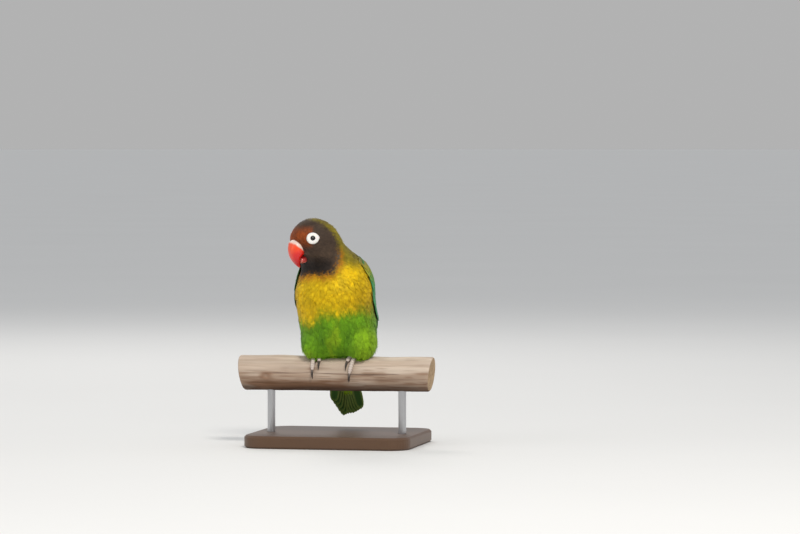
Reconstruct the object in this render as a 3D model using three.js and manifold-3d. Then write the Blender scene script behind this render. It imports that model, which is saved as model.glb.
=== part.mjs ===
// A yellow-collared (masked) lovebird, life size, perched on a short length of
// weathered branch that a plain stand holds up. Millimetres, +Z up. The bird
// faces -Y and turns its head to its right (towards -X). The origin is the
// middle of the stand's underside.
import * as THREE from "three";
import { mergeVertices } from "three/addons/utils/BufferGeometryUtils.js";
import Module from "manifold-3d";

const wasm = await Module();
wasm.setup();

// ---------------------------------------------------------------- main sizes
const GAP = 0.35; // clearance between neighbouring pieces
const BASE = { width: 108, depth: 92, thick: 8, corner: 14, y: 6 };
const ROD = { radius: 2.5, x: 43 }; // two uprights under the perch
const PERCH = { radius: 11.2, z: 46, length: 124, x: 0 };
const HEAD_YAW = 48; // degrees, to the bird's right
const HEAD_PITCH = 4; // degrees, bill down
const HEAD = [-10.6, -13.5, 130.5]; // middle of the head
const EYE = { radius: 2.9, depth: 2.3, ring: 4.1, l: 12.2, f: 8.5, u: 3.5 };
const TAIL = { root: [-2.2, 28.5, 57], lean: 16, length: 42.4 };
const WING = { from: [0, -1, 119], lean: 23, length: 88 };
const TOE = { radius: 1.45, tip: 1.05 };
const CLAW = { length: 5.6, radius: 0.85 };

// ------------------------------------------------------------ small vectors
const rad = (d) => (d * Math.PI) / 180;
const add = (a, b, k = 1) => [a[0] + b[0] * k, a[1] + b[1] * k, a[2] + b[2] * k];
const dot = (a, b) => a[0] * b[0] + a[1] * b[1] + a[2] * b[2];
const unit = (a) => {
  const n = Math.hypot(...a);
  return [a[0] / n, a[1] / n, a[2] / n];
};
const clamp = (x, a, b) => Math.min(b, Math.max(a, x));
const lerp = (a, b, t) => a + (b - a) * t;
const smooth = (a, b, x) => {
  const t = clamp((x - a) / (b - a), 0, 1);
  return t * t * (3 - 2 * t);
};
// Piecewise-linear table [[t, value], ...], eased between its entries.
const table = (rows) => (t) => {
  if (t <= rows[0][0]) return rows[0][1];
  for (let i = 1; i < rows.length; i++)
    if (t <= rows[i][0])
      return lerp(rows[i - 1][1], rows[i][1],
        (t - rows[i - 1][0]) / (rows[i][0] - rows[i - 1][0]));
  return rows[rows.length - 1][1];
};

// The head's own axes: left, forward and up.
const flatF = [-Math.sin(rad(HEAD_YAW)), -Math.cos(rad(HEAD_YAW)), 0];
const LEFT = [Math.cos(rad(HEAD_YAW)), -Math.sin(rad(HEAD_YAW)), 0];
const FORE = add(flatF.map((x) => x * Math.cos(rad(HEAD_PITCH))), [0, 0, -Math.sin(rad(HEAD_PITCH))]);
const UP = add([0, 0, Math.cos(rad(HEAD_PITCH))], flatF, Math.sin(rad(HEAD_PITCH)));
const atHead = (l, f, u) => add(add(add(HEAD, LEFT, l), FORE, f), UP, u);
const headAxes = [LEFT, FORE, UP];

// --------------------------------------------- the body as one smooth volume
// Negative inside, positive outside, in millimetres near the surface.
function egg(p, c, r, axes, lean = 0) {
  let q = [p[0] - c[0], p[1] - c[1], p[2] - c[2]];
  if (axes) q = axes.map((a) => dot(a, q));
  if (lean) {
    const k = Math.cos(rad(lean)), s = Math.sin(rad(lean));
    q = [q[0], k * q[1] + s * q[2], -s * q[1] + k * q[2]];
  }
  const a = Math.hypot(q[0] / r[0], q[1] / r[1], q[2] / r[2]);
  const b = Math.hypot(q[0] / r[0] ** 2, q[1] / r[1] ** 2, q[2] / r[2] ** 2);
  return (a * (a - 1)) / Math.max(b, 1e-9);
}
const blend = (a, b, k) => {
  const h = Math.max(k - Math.abs(a - b), 0) / k;
  return Math.min(a, b) - (h * h * k) / 4;
};
const carve = (a, b, k) => -blend(-a, -b, k);

function headField(p) {
  let h = egg(p, atHead(0, 1.7, 0.75), [13.4, 16.2, 15.0], headAxes);
  h = blend(h, egg(p, atHead(0, -5.6, -5), [12.0, 10.6, 12.0], headAxes), 8);
  h = blend(h, egg(p, atHead(0, 4.5, -6.5), [12.2, 9.2, 9.6], headAxes), 5);
  // the slanting face that the bill grows from
  const q = add(p, atHead(0, 17.6, 1.3), -1);
  return carve(h, 0.81 * dot(q, FORE) - 0.585 * dot(q, UP), 3.5);
}
function bodyField(p) {
  let d = egg(p, [-0.8, -3.3, 96.5], [25.1, 23.4, 25]); // breast
  d = blend(d, egg(p, [0.9, 1.5, 76], [24.4, 21.5, 19.5]), 12); // belly
  d = blend(d, egg(p, [0.5, 12, 74], [20, 16, 26], null, -14), 10); // back
  d = blend(d, egg(p, [-0.9, 25, 57.5], [10.6, 6.6, 21.5], null, 20), 8); // rump
  d = blend(d, egg(p, [0.2, 0.5, 106.4], [19.2, 15.6, 15]), 10); // shoulders
  for (const s of [-1, 1]) d = blend(d, egg(p, [2.3 + 14.8 * s, -2.6, 65.4], [9.8, 12.8, 11.3]), 6); // thighs
  d = blend(d, egg(p, [-3.2, -4.6, 116.6], [14.1, 13.4, 14.2]), 11.5); // neck
  d = blend(d, headField(p), 7);
  // the belly is pressed flat where it sits on the perch
  const perch = Math.hypot(p[1], p[2] - PERCH.z) - PERCH.radius - GAP - 0.15;
  return carve(d, -perch, 1.5);
}

// A closed surface: a sphere whose vertices are pushed out along their rays
// from `centre` to the surface where field(p) = iso.
function swell(centre, field, iso = 0, wide = 32, high = 22, reach = 90) {
  const g = new THREE.SphereGeometry(1, wide, high);
  g.rotateX(Math.PI / 2);
  const pos = g.attributes.position;
  for (let i = 0; i < pos.count; i++) {
    const dir = unit([pos.getX(i), pos.getY(i), pos.getZ(i)]);
    let a = 0, b = reach;
    for (let k = 0; k < 24; k++) {
      const m = (a + b) / 2;
      if (field(add(centre, dir, m)) < iso) a = m;
      else b = m;
    }
    pos.setXYZ(i, ...add(centre, dir, a));
  }
  return g;
}

// ------------------------------------------------------- solids and booleans
function solid(geometry) {
  const g = geometry.clone();
  for (const k of Object.keys(g.attributes)) if (k !== "position") g.deleteAttribute(k);
  const m = mergeVertices(g, 1e-4);
  const s = new wasm.Manifold(new wasm.Mesh({
    numProp: 3,
    vertProperties: new Float32Array(m.attributes.position.array),
    triVerts: new Uint32Array(m.index.array),
  }));
  if (s.volume() < 0) throw new Error("a shape is inside out");
  return s;
}
function geometryOf(s) {
  const m = s.getMesh();
  const v = new Float32Array(m.numVert * 3);
  for (let i = 0; i < m.numVert; i++)
    for (let k = 0; k < 3; k++) v[3 * i + k] = m.vertProperties[i * m.numProp + k];
  const g = new THREE.BufferGeometry();
  g.setAttribute("position", new THREE.BufferAttribute(v, 3));
  g.setIndex(new THREE.BufferAttribute(new Uint32Array(m.triVerts), 1));
  g.computeVertexNormals();
  return g;
}
const biggest = (s) => {
  const parts = s.decompose();
  return parts.reduce((a, b) => (b.volume() > a.volume() ? b : a));
};
const join = (list) => list.reduce((a, b) => a.add(b));
// A large box that fills the side of a plane that `normal` points to.
function beyond(point, normal, size = 200) {
  const g = new THREE.BoxGeometry(size, size, size);
  g.translate(0, 0, size / 2);
  g.applyQuaternion(new THREE.Quaternion().setFromUnitVectors(
    new THREE.Vector3(0, 0, 1), new THREE.Vector3(...unit(normal))));
  g.translate(...point);
  return solid(g);
}
// A closed, tapering, possibly flat rod along a curve. A sphere is stretched
// along it: half-widths wide(t) across and thick(t) along `out`.
function limb(points, wide, thick, out, sides = 8, rings = 8, blunt = 0.75) {
  const curve = new THREE.CatmullRomCurve3(points.map((p) => new THREE.Vector3(...p)), false, "centripetal");
  const g = new THREE.SphereGeometry(1, sides, rings);
  const pos = g.attributes.position;
  for (let i = 0; i < pos.count; i++) {
    const y = clamp(pos.getY(i), -1, 1);
    const t = (1 - y) / 2;
    const here = curve.getPoint(t), along = curve.getTangent(t);
    const ring = Math.hypot(pos.getX(i), pos.getZ(i));
    const round = Math.pow(ring, blunt) / Math.max(ring, 1e-6); // blunter ends
    const face = typeof out === "function" ? out(t) : out;
    const n = new THREE.Vector3(...face);
    n.addScaledVector(along, -n.dot(along)).normalize();
    const b = new THREE.Vector3().crossVectors(along, n);
    here.addScaledVector(b, pos.getX(i) * round * wide(t));
    here.addScaledVector(n, -pos.getZ(i) * round * thick(t));
    pos.setXYZ(i, here.x, here.y, here.z);
  }
  let s;
  try { s = solid(g); } catch (e) { g.index.array.reverse(); s = solid(g); }
  return s;
}

// ------------------------------------------------------------------ the body
const headCentre = atHead(0, -0.5, -1.5);
const neckCentre = [-4, -5.5, 117];
const trunkCentre = [0.3, 1.5, 88];
const near = (c, r) => (p) => Math.max(bodyField(p), Math.hypot(p[0] - c[0], p[1] - c[1], p[2] - c[2]) - r);
const cutHead = { at: [-5.6, -7.2, 121.5], n: unit([-0.4, -0.5, 0.77]) };
const cutNeck = { at: [-1.6, -3, 111.6], n: unit([-0.16, -0.1, 0.97]) };

const neckSkin = solid(swell(neckCentre, near(neckCentre, 27.5), GAP, 26, 18));
const headWhole = solid(swell(headCentre, near(headCentre, 26), 0, 26, 18));
const headSkin = solid(swell(headCentre, near(headCentre, 26), GAP, 26, 18));
const trunkWhole = solid(swell(trunkCentre, near(trunkCentre, 60), 0, 26, 18));
const trunkSkin = solid(swell(trunkCentre, near(trunkCentre, 60), GAP + 0.1, 26, 18));

let head = headWhole.intersect(beyond(add(cutHead.at, cutHead.n, GAP / 2), cutHead.n));
let neck = solid(swell(neckCentre, near(neckCentre, 27), 0, 26, 18))
  .subtract(beyond(add(cutHead.at, cutHead.n, -GAP / 2), cutHead.n))
  .intersect(beyond(add(cutNeck.at, cutNeck.n, GAP / 2), cutNeck.n));
let trunk = trunkWhole.subtract(beyond(add(cutNeck.at, cutNeck.n, -GAP / 2), cutNeck.n));

// ------------------------------------------------------------------ the bill
// Upper half: sections between the ridge and the cutting edge, in head
// coordinates (forward, up), with a half-width for each.
const RIDGE = [[12.4, 4.2], [16.9, 2.3], [18.9, -0.8], [19.3, -4.6], [18.4, -8.6], [16.1, -12.4], [12.9, -15.7]];
const EDGE = [[6.0, -4.2], [8.0, -5.8], [10.0, -7.0], [11.5, -8.4], [12.4, -10.4], [12.6, -12.8], [12.4, -15.4]];
const BILL_WIDTH = [5.2, 6.0, 6.0, 5.3, 4.0, 2.3, 0.55];
const row = (list) => new THREE.SplineCurve(list.map((p) => new THREE.Vector2(...p)));
function upperBill(extra) {
  const ridge = row(RIDGE), edge = row(EDGE);
  const width = row(BILL_WIDTH.map((w, i) => [i, w]));
  const g = new THREE.SphereGeometry(1, 14, 10);
  const pos = g.attributes.position;
  for (let i = 0; i < pos.count; i++) {
    const y = clamp(pos.getY(i), -1, 1);
    const t = Math.acos(y) / Math.PI;
    const ring = Math.hypot(pos.getX(i), pos.getZ(i));
    const full = ring < 1e-6 ? 0 : Math.min(1, smooth(0, 0.07, t)) ** 0.5 * (t > 0.97 ? Math.sqrt((1 - t) / 0.03) : 1);
    const c = ring < 1e-6 ? 0 : pos.getX(i) / ring, s = ring < 1e-6 ? 0 : pos.getZ(i) / ring;
    const a = ridge.getPoint(t), b = edge.getPoint(t), w = width.getPoint(t).y + extra;
    const mid = [(a.x + b.x) / 2, (a.y + b.y) / 2];
    const half = [(a.x - b.x) / 2, (a.y - b.y) / 2];
    const grow = 1 + extra / Math.max(0.4, Math.hypot(...half));
    const power = (v, e) => Math.sign(v) * Math.abs(v) ** e;
    // a rounded roof on the ridge side, fuller cheeks below
    const k = full * power(c, 0.92) * grow, side = full * power(s, 0.8) * (c > 0 ? 1 - 0.16 * c * c : 1);
    pos.setXYZ(i, ...atHead(side * w, mid[0] + half[0] * k, mid[1] + half[1] * k));
  }
  try { return solid(g); } catch (e) { g.index.array.reverse(); return solid(g); }
}
const billTop = upperBill(0), billTopClear = upperBill(GAP);
function lowerBill(extra) {
  return limb([[4.5, -8.4], [8, -9.4], [10.6, -10.3], [12.6, -10.8]].map(([f, u]) => atHead(0, f, u)),
    (t) => table([[0, 3.5], [0.5, 3.4], [0.85, 2.9], [1, 2.1]])(t) + extra,
    (t) => table([[0, 2.5], [0.5, 2.7], [1, 1.6]])(t) + extra, UP, 10, 7, 0.6);
}
const beakUpper = biggest(billTop.subtract(headSkin));
const beakLower = biggest(lowerBill(0).subtract(headSkin).subtract(billTopClear));

// ------------------------------------------------------------------ the eyes
function eyeOf(side) {
  const toward = unit(add(atHead(side * EYE.l, EYE.f, EYE.u), atHead(0, 2.5, 0.5), -1));
  const from = atHead(0, 2.5, 0.5);
  let a = 0, b = 40;
  for (let k = 0; k < 30; k++) {
    const m = (a + b) / 2;
    if (bodyField(add(from, toward, m)) < 0) a = m;
    else b = m;
  }
  const at = add(from, toward, a), e = 0.05;
  const n = unit([0, 1, 2].map((k) => {
    const d = [0, 0, 0];
    d[k] = e;
    return bodyField(add(at, d)) - bodyField(add(at, d, -1));
  }));
  const place = (g) => {
    g.applyQuaternion(new THREE.Quaternion().setFromUnitVectors(new THREE.Vector3(0, 1, 0), new THREE.Vector3(...n)));
    return g.translate(...at);
  };
  const disc = (r, low, high, sides = 14) => solid(place(new THREE.CylinderGeometry(r, r, high - low, sides).translate(0, (high + low) / 2, 0)));
  const ball = (r) => solid(place(new THREE.SphereGeometry(r, 12, 8).translate(0, -EYE.depth, 0)));
  const rim = solid(swell(headCentre, near(headCentre, 26), GAP, 26, 18));
  return {
    ball: ball(EYE.radius),
    ring: biggest(disc(EYE.ring, -0.75, 3).intersect(rim).subtract(ball(EYE.radius + GAP))),
    socket: disc(EYE.ring + GAP, -0.75 - GAP, 3).add(ball(EYE.radius + GAP)),
  };
}
const eyes = { left: eyeOf(1), right: eyeOf(-1) };
head = biggest(head.subtract(eyes.left.socket).subtract(eyes.right.socket));

// ------------------------------------------------------------- legs and feet
// Each foot grips the perch with two toes forward and two back.
const around = (x, deg, r) => [x, -Math.sin(rad(deg)) * r, PERCH.z + Math.cos(rad(deg)) * r];
const FEET = {
  left: { x: 15.2, toes: [[15.4, 11.2, 88], [12.4, 9.0, 50], [13.6, 12.4, -66], [17.4, 18.6, -84]] },
  right: { x: -13.4, toes: [[-13.6, -13.1, 78], [-11.0, -9.2, 50], [-12.0, -11.0, -66], [-15.6, -16.8, -84]] },
};
function footOf(foot, extra, sides = 6, rings = 6) {
  const grip = PERCH.radius + TOE.radius + 0.2;
  const pieces = foot.toes.map(([x0, x1, deg]) => {
    const pts = [0.04, 0.3, 0.55, 0.8, 1].map((t) => around(lerp(foot.x * 0.5 + x0 * 0.5, x1, Math.pow(t, 0.7)), deg * t, grip - 0.25 * t));
    return limb(pts, (t) => table([[0, TOE.radius], [0.3, TOE.radius * 1.08], [0.55, TOE.radius * 0.92], [0.75, TOE.radius], [1, TOE.tip]])(t) + extra,
      (t) => table([[0, TOE.radius], [1, TOE.tip]])(t) + extra, (t) => add(around(0, deg * t, 1), [0, 0, PERCH.z], -1), sides, rings, 0.5);
  });
  const pad = new THREE.SphereGeometry(1, sides + 3, rings);
  pad.scale(2.7 + extra, 3.1 + extra, 1.9 + extra).translate(...around(foot.x, 0, grip + 0.5));
  const shank = limb([around(foot.x, 0, grip), [foot.x * 1.02, 2.5, PERCH.z + grip + 3.5], [foot.x * 1.05, 4.6, PERCH.z + grip + 7]],
    () => 1.7 + extra, () => 1.7 + extra, [0, -1, 0], sides, 5, 0.4);
  return join([...pieces, solid(pad), shank]);
}
function clawsOf(foot) {
  const grip = PERCH.radius + TOE.radius;
  return foot.toes.map(([x0, x1, deg]) => {
    const s = Math.sign(deg), more = 27;
    const lean = (x1 - x0) * 0.12;
    const pts = [-0.12, 0.35, 0.7, 1].map((t) =>
      around(x1 + lean * t, deg + s * more * t, grip - 0.35 + 1.0 * Math.sin(Math.PI * clamp(t, 0, 1)) - 0.35 * t));
    return limb(pts, (t) => table([[0, CLAW.radius * 0.8], [0.25, CLAW.radius], [1, 0.28]])(t),
      (t) => table([[0, CLAW.radius * 0.85], [0.25, CLAW.radius * 1.1], [1, 0.3]])(t),
      (t) => add(around(0, deg + s * more * t, 1), [0, 0, PERCH.z], -1), 6, 5, 0.6);
  });
}
const perchClear = solid(new THREE.CylinderGeometry(PERCH.radius + GAP, PERCH.radius + GAP, PERCH.length + 20, 24)
  .rotateZ(Math.PI / 2).translate(PERCH.x, 0, PERCH.z));
const feet = {}, feetClear = {}, claws = {};
for (const side of ["left", "right"]) {
  claws[side] = clawsOf(FEET[side]).map((c) => biggest(c.subtract(perchClear)));
  feetClear[side] = footOf(FEET[side], GAP + 0.15);
  feet[side] = footOf(FEET[side], 0).subtract(perchClear);
  claws[side] = claws[side].map((c) => biggest(c.subtract(footOf(FEET[side], GAP * 0.7))));
  feet[side] = biggest(feet[side]);
}
// The feathered thighs are parted from the trunk by egg-shaped cuts.
const thighs = {};
for (const side of [-1, 1]) {
  const name = side > 0 ? "left" : "right";
  const eggSolid = (extra) => {
    const g = new THREE.SphereGeometry(1, 12, 8);
    g.scale(9 + extra, 12 + extra, 10.5 + extra).translate(2.2 + 14.8 * side, -4.5, 65.5);
    return solid(g);
  };
  thighs[name] = biggest(trunkWhole.intersect(eggSolid(-GAP / 2)).subtract(feetClear[name]).subtract(perchClear));
  trunk = trunk.subtract(eggSolid(GAP / 2));
}
trunk = biggest(trunk.subtract(feetClear.left).subtract(feetClear.right).subtract(perchClear));

// ------------------------------------------------------------------ the tail
const tailAxis = [0, Math.sin(rad(TAIL.lean)), -Math.cos(rad(TAIL.lean))];
const tailBack = [0, Math.cos(rad(TAIL.lean)), Math.sin(rad(TAIL.lean))];
const tailLength = table([[-1, 0.76], [-0.7, 0.86], [-0.3, 1.0], [0.1, 0.97], [0.5, 0.95], [1, 0.87]]);
function tailFeather(k) {
  // k runs from -1 (the bird's right) to 1 (its left)
  const long = TAIL.length * tailLength(k);
  const at = (t) => {
    let p = add(TAIL.root, tailAxis, long * t);
    p = add(p, [1, 0, 0], (2.6 + 4.2 * Math.pow(t, 0.75)) * k + (k > 0 ? 3.4 : 0.6) * t * k);
    return add(p, tailBack, -0.9 * Math.abs(k) - 1.1 * k * k - 0.7 * t * t + (k > 0 ? 0 : 0.2));
  };
  return limb([0, 0.3, 0.6, 0.85, 1].map(at),
    table([[0, 2.6], [0.3, 3.6], [0.75, 4.1], [0.92, 3.0], [1, 1.6]]), () => 0.45, tailBack, 6, 8, 0.5);
}
const tailAll = join([-1, -0.7, -0.4, -0.1, 0.25, 0.62, 1].map(tailFeather));
const tail = biggest(tailAll.subtract(trunkSkin));

// ----------------------------------------------------------------- the wings
// A folded wing is a shell wrapped round the side and back. It is laid out
// round an axis that runs down the back: s from 0 at the shoulder to 1 at the
// tips, and an angle from 0 at the breast to 180 at the spine.
const wingAxis = [0, Math.sin(rad(WING.lean)), -Math.cos(rad(WING.lean))];
const wingBack = [0, Math.cos(rad(WING.lean)), Math.sin(rad(WING.lean))];
const FRONT = table([[0, 80], [0.1, 71], [0.25, 65], [0.36, 68], [0.5, 82], [0.6, 92], [0.7, 106], [0.85, 122], [1, 132]]);
const REAR = table([[0, 112], [0.1, 134], [0.25, 152], [0.5, 169], [0.7, 175], [0.85, 172], [1, 160]]);
const BLADE = table([[0, 0], [0.45, 10], [0.6, 15.5], [0.75, 11.5], [0.88, 6.8], [1, 4.0]]);
const THICK = table([[0, 0.7], [0.1, 1.1], [0.3, 1.2], [0.45, 1.2], [0.6, 1.2], [0.8, 1.0], [1, 0.7]]);
const spoke = (side, deg) => add([side * Math.sin(rad(deg)), 0, 0], wingBack, -Math.cos(rad(deg)));
function reachAt(side, s, deg) {
  const from = add(WING.from, wingAxis, s * WING.length), dir = spoke(side, deg);
  let a = 0, b = 45;
  if (bodyField(from) > 0) return 0;
  for (let k = 0; k < 22; k++) {
    const m = (a + b) / 2;
    if (bodyField(add(from, dir, m)) < 0.5) a = m;
    else b = m;
  }
  return a;
}
// v from 0 at the front edge to 1 at the rear edge; h from 0 inside to 1 outside
function wingPoint(side, s, v, h) {
  const deg = lerp(FRONT(s), REAR(s), v);
  const inner = Math.max(reachAt(side, s, deg) + 0.12, BLADE(s) * (1 - 0.12 * Math.cos(rad(2 * deg))));
  const edge = Math.min(1, Math.min(v, 1 - v) * 5 + 0.32);
  const r = inner + h * THICK(s) * edge;
  return add(add(WING.from, wingAxis, s * WING.length), spoke(side, deg), r);
}
function wingShell(side, s0, s1, rows, columns) {
  // a box whose top and bottom faces become the shell's outside and inside
  const g = new THREE.BoxGeometry(1, 1, 1, rows, 1, columns);
  const pos = g.attributes.position;
  for (let i = 0; i < pos.count; i++)
    pos.setXYZ(i, ...wingPoint(side, lerp(s0, s1, pos.getX(i) + 0.5), pos.getZ(i) + 0.5, pos.getY(i) + 0.5));
  try { return solid(g); } catch (e) { g.index.array.reverse(); return solid(g); }
}
function quill(side, s0, s1, v0, v1, lift, half) {
  // one long flight feather, from (s0, v0) to its tip at (s1, v1)
  const pts = [0, 0.25, 0.5, 0.75, 1].map((t) => {
    const s = lerp(s0, s1, t), p = wingPoint(side, Math.min(s, 1), lerp(v0, v1, t), 0.5);
    return add(add(p, wingAxis, Math.max(0, s - 1) * WING.length), spoke(side, 140), lift);
  });
  return limb(pts, table([[0, half * 0.6], [0.4, half], [0.8, half * 0.85], [1, half * 0.5]]), () => 0.4, spoke(side, 135), 6, 6, 0.5);
}
const wings = {}, flights = {};
for (const side of [-1, 1]) {
  const name = side > 0 ? "left" : "right";
  wings[name] = biggest(wingShell(side, 0.03, 0.56, 8, 6).subtract(neckSkin));
  const shell = wingShell(side, 0.565, 1, 6, 4);
  const quills = [
    quill(side, 0.62, 1.05, 0.55, 0.5, 0.25, 3.0),
    quill(side, 0.62, 0.98, 0.3, 0.15, 0.1, 2.8),
    quill(side, 0.62, 0.9, 0.12, 0.02, 0.0, 2.4),
  ];
  flights[name] = biggest(join([shell, ...quills]).subtract(tailAll).subtract(trunkSkin));
}
// the shells of the two sides stay apart at the spine
for (const side of [-1, 1]) {
  const name = side > 0 ? "left" : "right";
  const slab = beyond([-0.5 + side * 0.25, 0, 0], [-side, 0, 0]);
  wings[name] = biggest(wings[name].subtract(slab));
  flights[name] = biggest(flights[name].subtract(slab).subtract(beyond(
    add(WING.from, wingAxis, WING.length * 0.5625), wingAxis.map((x) => -x))));
}

// ----------------------------------------------------------- perch and stand
function perchGeometry() {
  const g = new THREE.CylinderGeometry(PERCH.radius, PERCH.radius, PERCH.length, 24, 6).rotateZ(Math.PI / 2);
  const pos = g.attributes.position;
  for (let i = 0; i < pos.count; i++) {
    const x = pos.getX(i), a = Math.atan2(pos.getZ(i), pos.getY(i));
    const r = Math.hypot(pos.getY(i), pos.getZ(i));
    const grip = 1 - smooth(22, 40, Math.abs(x)); // round and true under the feet
    const k = 1 + (1 - grip) * (0.022 * Math.sin(2 * a + 0.05 * x) + 0.014 * Math.sin(3 * a + 1.3 - 0.07 * x) + 0.012 * Math.sin(0.16 * x)) - 0.004;
    const slant = Math.abs(x) > PERCH.length / 2 - 0.01 ? 0.13 * Math.sin(a) * r * Math.sign(x) : 0; // saw cuts lean a little
    pos.setXYZ(i, x + slant, Math.cos(a) * r * k, Math.sin(a) * r * k);
  }
  return g.translate(PERCH.x, 0, PERCH.z);
}
let perch = solid(perchGeometry());
const rods = {};
for (const side of [-1, 1]) {
  const name = side > 0 ? "left" : "right";
  const low = BASE.thick - 4, high = PERCH.z - PERCH.radius + 4.5;
  const rod = (extra) => solid(new THREE.CylinderGeometry(ROD.radius + extra, ROD.radius + extra, high - low + 2 * extra, 20)
    .rotateX(Math.PI / 2).translate(PERCH.x + side * ROD.x, 0, (high + low) / 2));
  rods[name] = rod(0);
  perch = perch.subtract(rod(GAP));
}
const outline = new THREE.Shape();
const W = BASE.width / 2, D = BASE.depth / 2, C = BASE.corner;
outline.moveTo(-W + C, -D);
outline.lineTo(W - C, -D).absarc(W - C, -D + C, C, -Math.PI / 2, 0);
outline.lineTo(W, D - C).absarc(W - C, D - C, C, 0, Math.PI / 2);
outline.lineTo(-W + C, D).absarc(-W + C, D - C, C, Math.PI / 2, Math.PI);
outline.lineTo(-W, -D + C).absarc(-W + C, -D + C, C, Math.PI, 1.5 * Math.PI);
let base = solid(new THREE.ExtrudeGeometry(outline, {
  depth: BASE.thick - 2.4, bevelEnabled: true, bevelThickness: 1.2, bevelSize: 1.2, bevelOffset: -1.2, bevelSegments: 1, curveSegments: 5,
}).translate(0, 0, 1.2));
for (const side of [-1, 1])
  base = base.subtract(solid(new THREE.CylinderGeometry(ROD.radius + GAP, ROD.radius + GAP, 20, 20)
    .rotateX(Math.PI / 2).translate(PERCH.x + side * ROD.x, -BASE.y, BASE.thick - 4 - GAP + 10)));

// ------------------------------------------------------------ the whole model
const paint = (color, roughness = 0.75, metalness = 0) => new THREE.MeshStandardMaterial({ color, roughness, metalness });
const colours = {
  mask: paint(0x3a2f28, 0.85), collar: paint(0xb89c16, 0.85), breast: paint(0xd9bc14, 0.85), green: paint(0x5c8f1c, 0.85),
  wing: paint(0x1f7d4c, 0.7), flight: paint(0x1d3a30, 0.65), tail: paint(0x47701a, 0.7), bill: paint(0xe0332a, 0.35),
  eye: paint(0x120d0b, 0.1), ring: paint(0xf3efec, 0.6), foot: paint(0xc9b8ae, 0.6), claw: paint(0x4a423d, 0.45),
  wood: paint(0xbfa78e, 0.8), base: paint(0x6b5645, 0.5), rod: paint(0x9a9a9a, 0.35, 0.9),
};
const model = new THREE.Group();
function put(name, s, material, group = model) {
  const m = new THREE.Mesh(geometryOf(s), material);
  m.name = name;
  group.add(m);
  return m;
}
const bird = new THREE.Group(), stand = new THREE.Group();
model.add(bird, stand);
put("head", head, colours.mask, bird);
put("neck", biggest(neck), colours.collar, bird);
put("trunk", trunk, colours.breast, bird);
put("beak_upper", beakUpper, colours.bill, bird);
put("beak_lower", beakLower, colours.bill, bird);
put("tail", tail, colours.tail, bird);
for (const side of ["left", "right"]) {
  put("eye_" + side, eyes[side].ball, colours.eye, bird);
  put("eye_ring_" + side, eyes[side].ring, colours.ring, bird);
  put("wing_" + side, wings[side], colours.wing, bird);
  put("primaries_" + side, flights[side], colours.flight, bird);
  put("thigh_" + side, thighs[side], colours.green, bird);
  put("foot_" + side, feet[side], colours.foot, bird);
  ["outer_front", "inner_front", "inner_back", "outer_back"].forEach((toe, i) =>
    put("claw_" + side + "_" + toe, claws[side][i], colours.claw, bird));
}
put("perch", perch, colours.wood, stand);
put("stand_rod_left", rods.left, colours.rod, stand);
put("stand_rod_right", rods.right, colours.rod, stand);
put("stand_base", base, colours.base, stand).position.set(0, BASE.y, 0);
model.position.set(0, -BASE.y, 0);
model.updateMatrixWorld(true);

export default model;
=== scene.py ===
import bpy
import numpy as np
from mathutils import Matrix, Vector


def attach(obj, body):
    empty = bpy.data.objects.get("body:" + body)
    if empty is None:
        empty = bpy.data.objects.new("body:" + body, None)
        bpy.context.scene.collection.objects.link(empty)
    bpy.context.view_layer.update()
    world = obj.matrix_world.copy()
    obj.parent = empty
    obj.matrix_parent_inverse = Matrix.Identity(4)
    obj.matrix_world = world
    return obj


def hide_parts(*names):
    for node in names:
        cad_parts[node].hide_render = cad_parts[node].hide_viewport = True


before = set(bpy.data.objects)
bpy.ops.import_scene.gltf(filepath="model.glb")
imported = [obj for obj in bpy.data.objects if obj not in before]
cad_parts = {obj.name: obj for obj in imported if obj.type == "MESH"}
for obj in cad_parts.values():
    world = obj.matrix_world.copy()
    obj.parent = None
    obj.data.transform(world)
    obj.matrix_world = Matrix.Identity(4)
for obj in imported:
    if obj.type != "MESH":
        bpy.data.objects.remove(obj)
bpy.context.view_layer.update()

RNG = np.random.default_rng(20251125)
SHIFT = np.array([0.0, -6.0, 0.0])
MM = 0.001
rad = np.radians

# ------------------------------------------------------------ named sizes
PERCH_R, PERCH_Z, PERCH_LEN, PERCH_X = 11.2, 46.0, 124.0, 0.0
GAP = 0.35
COAT = 1.1  # the skin lies this far inside the tips of the coat
HEAD_YAW, HEAD_PITCH = rad(48), rad(4)
HEAD = np.array([-10.6, -13.5, 130.5])
EYE = dict(radius=2.9, depth=2.3, ring=4.1, l=12.2, f=8.5, u=3.5)
flat = np.array([-np.sin(HEAD_YAW), -np.cos(HEAD_YAW), 0.0])
LEFT = np.array([np.cos(HEAD_YAW), -np.sin(HEAD_YAW), 0.0])
ZUP = np.array([0.0, 0.0, 1.0])
FORE = flat * np.cos(HEAD_PITCH) - ZUP * np.sin(HEAD_PITCH)
UP = ZUP * np.cos(HEAD_PITCH) + flat * np.sin(HEAD_PITCH)
AXES = np.stack([LEFT, FORE, UP])


def at_head(l, f, u):
    return HEAD + np.multiply.outer(l, LEFT) + np.multiply.outer(f, FORE) + np.multiply.outer(u, UP)


def head_lfu(p):
    return (p - HEAD) @ AXES.T


def unit(a):
    return a / np.maximum(np.linalg.norm(a, axis=-1, keepdims=True), 1e-9)


def smooth(a, b, x):
    t = np.clip((np.asarray(x, float) - a) / (b - a), 0, 1)
    return t * t * (3 - 2 * t)


def table(rows):
    xs, ys = [r[0] for r in rows], [r[1] for r in rows]
    return lambda t: np.interp(t, xs, ys)


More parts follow.
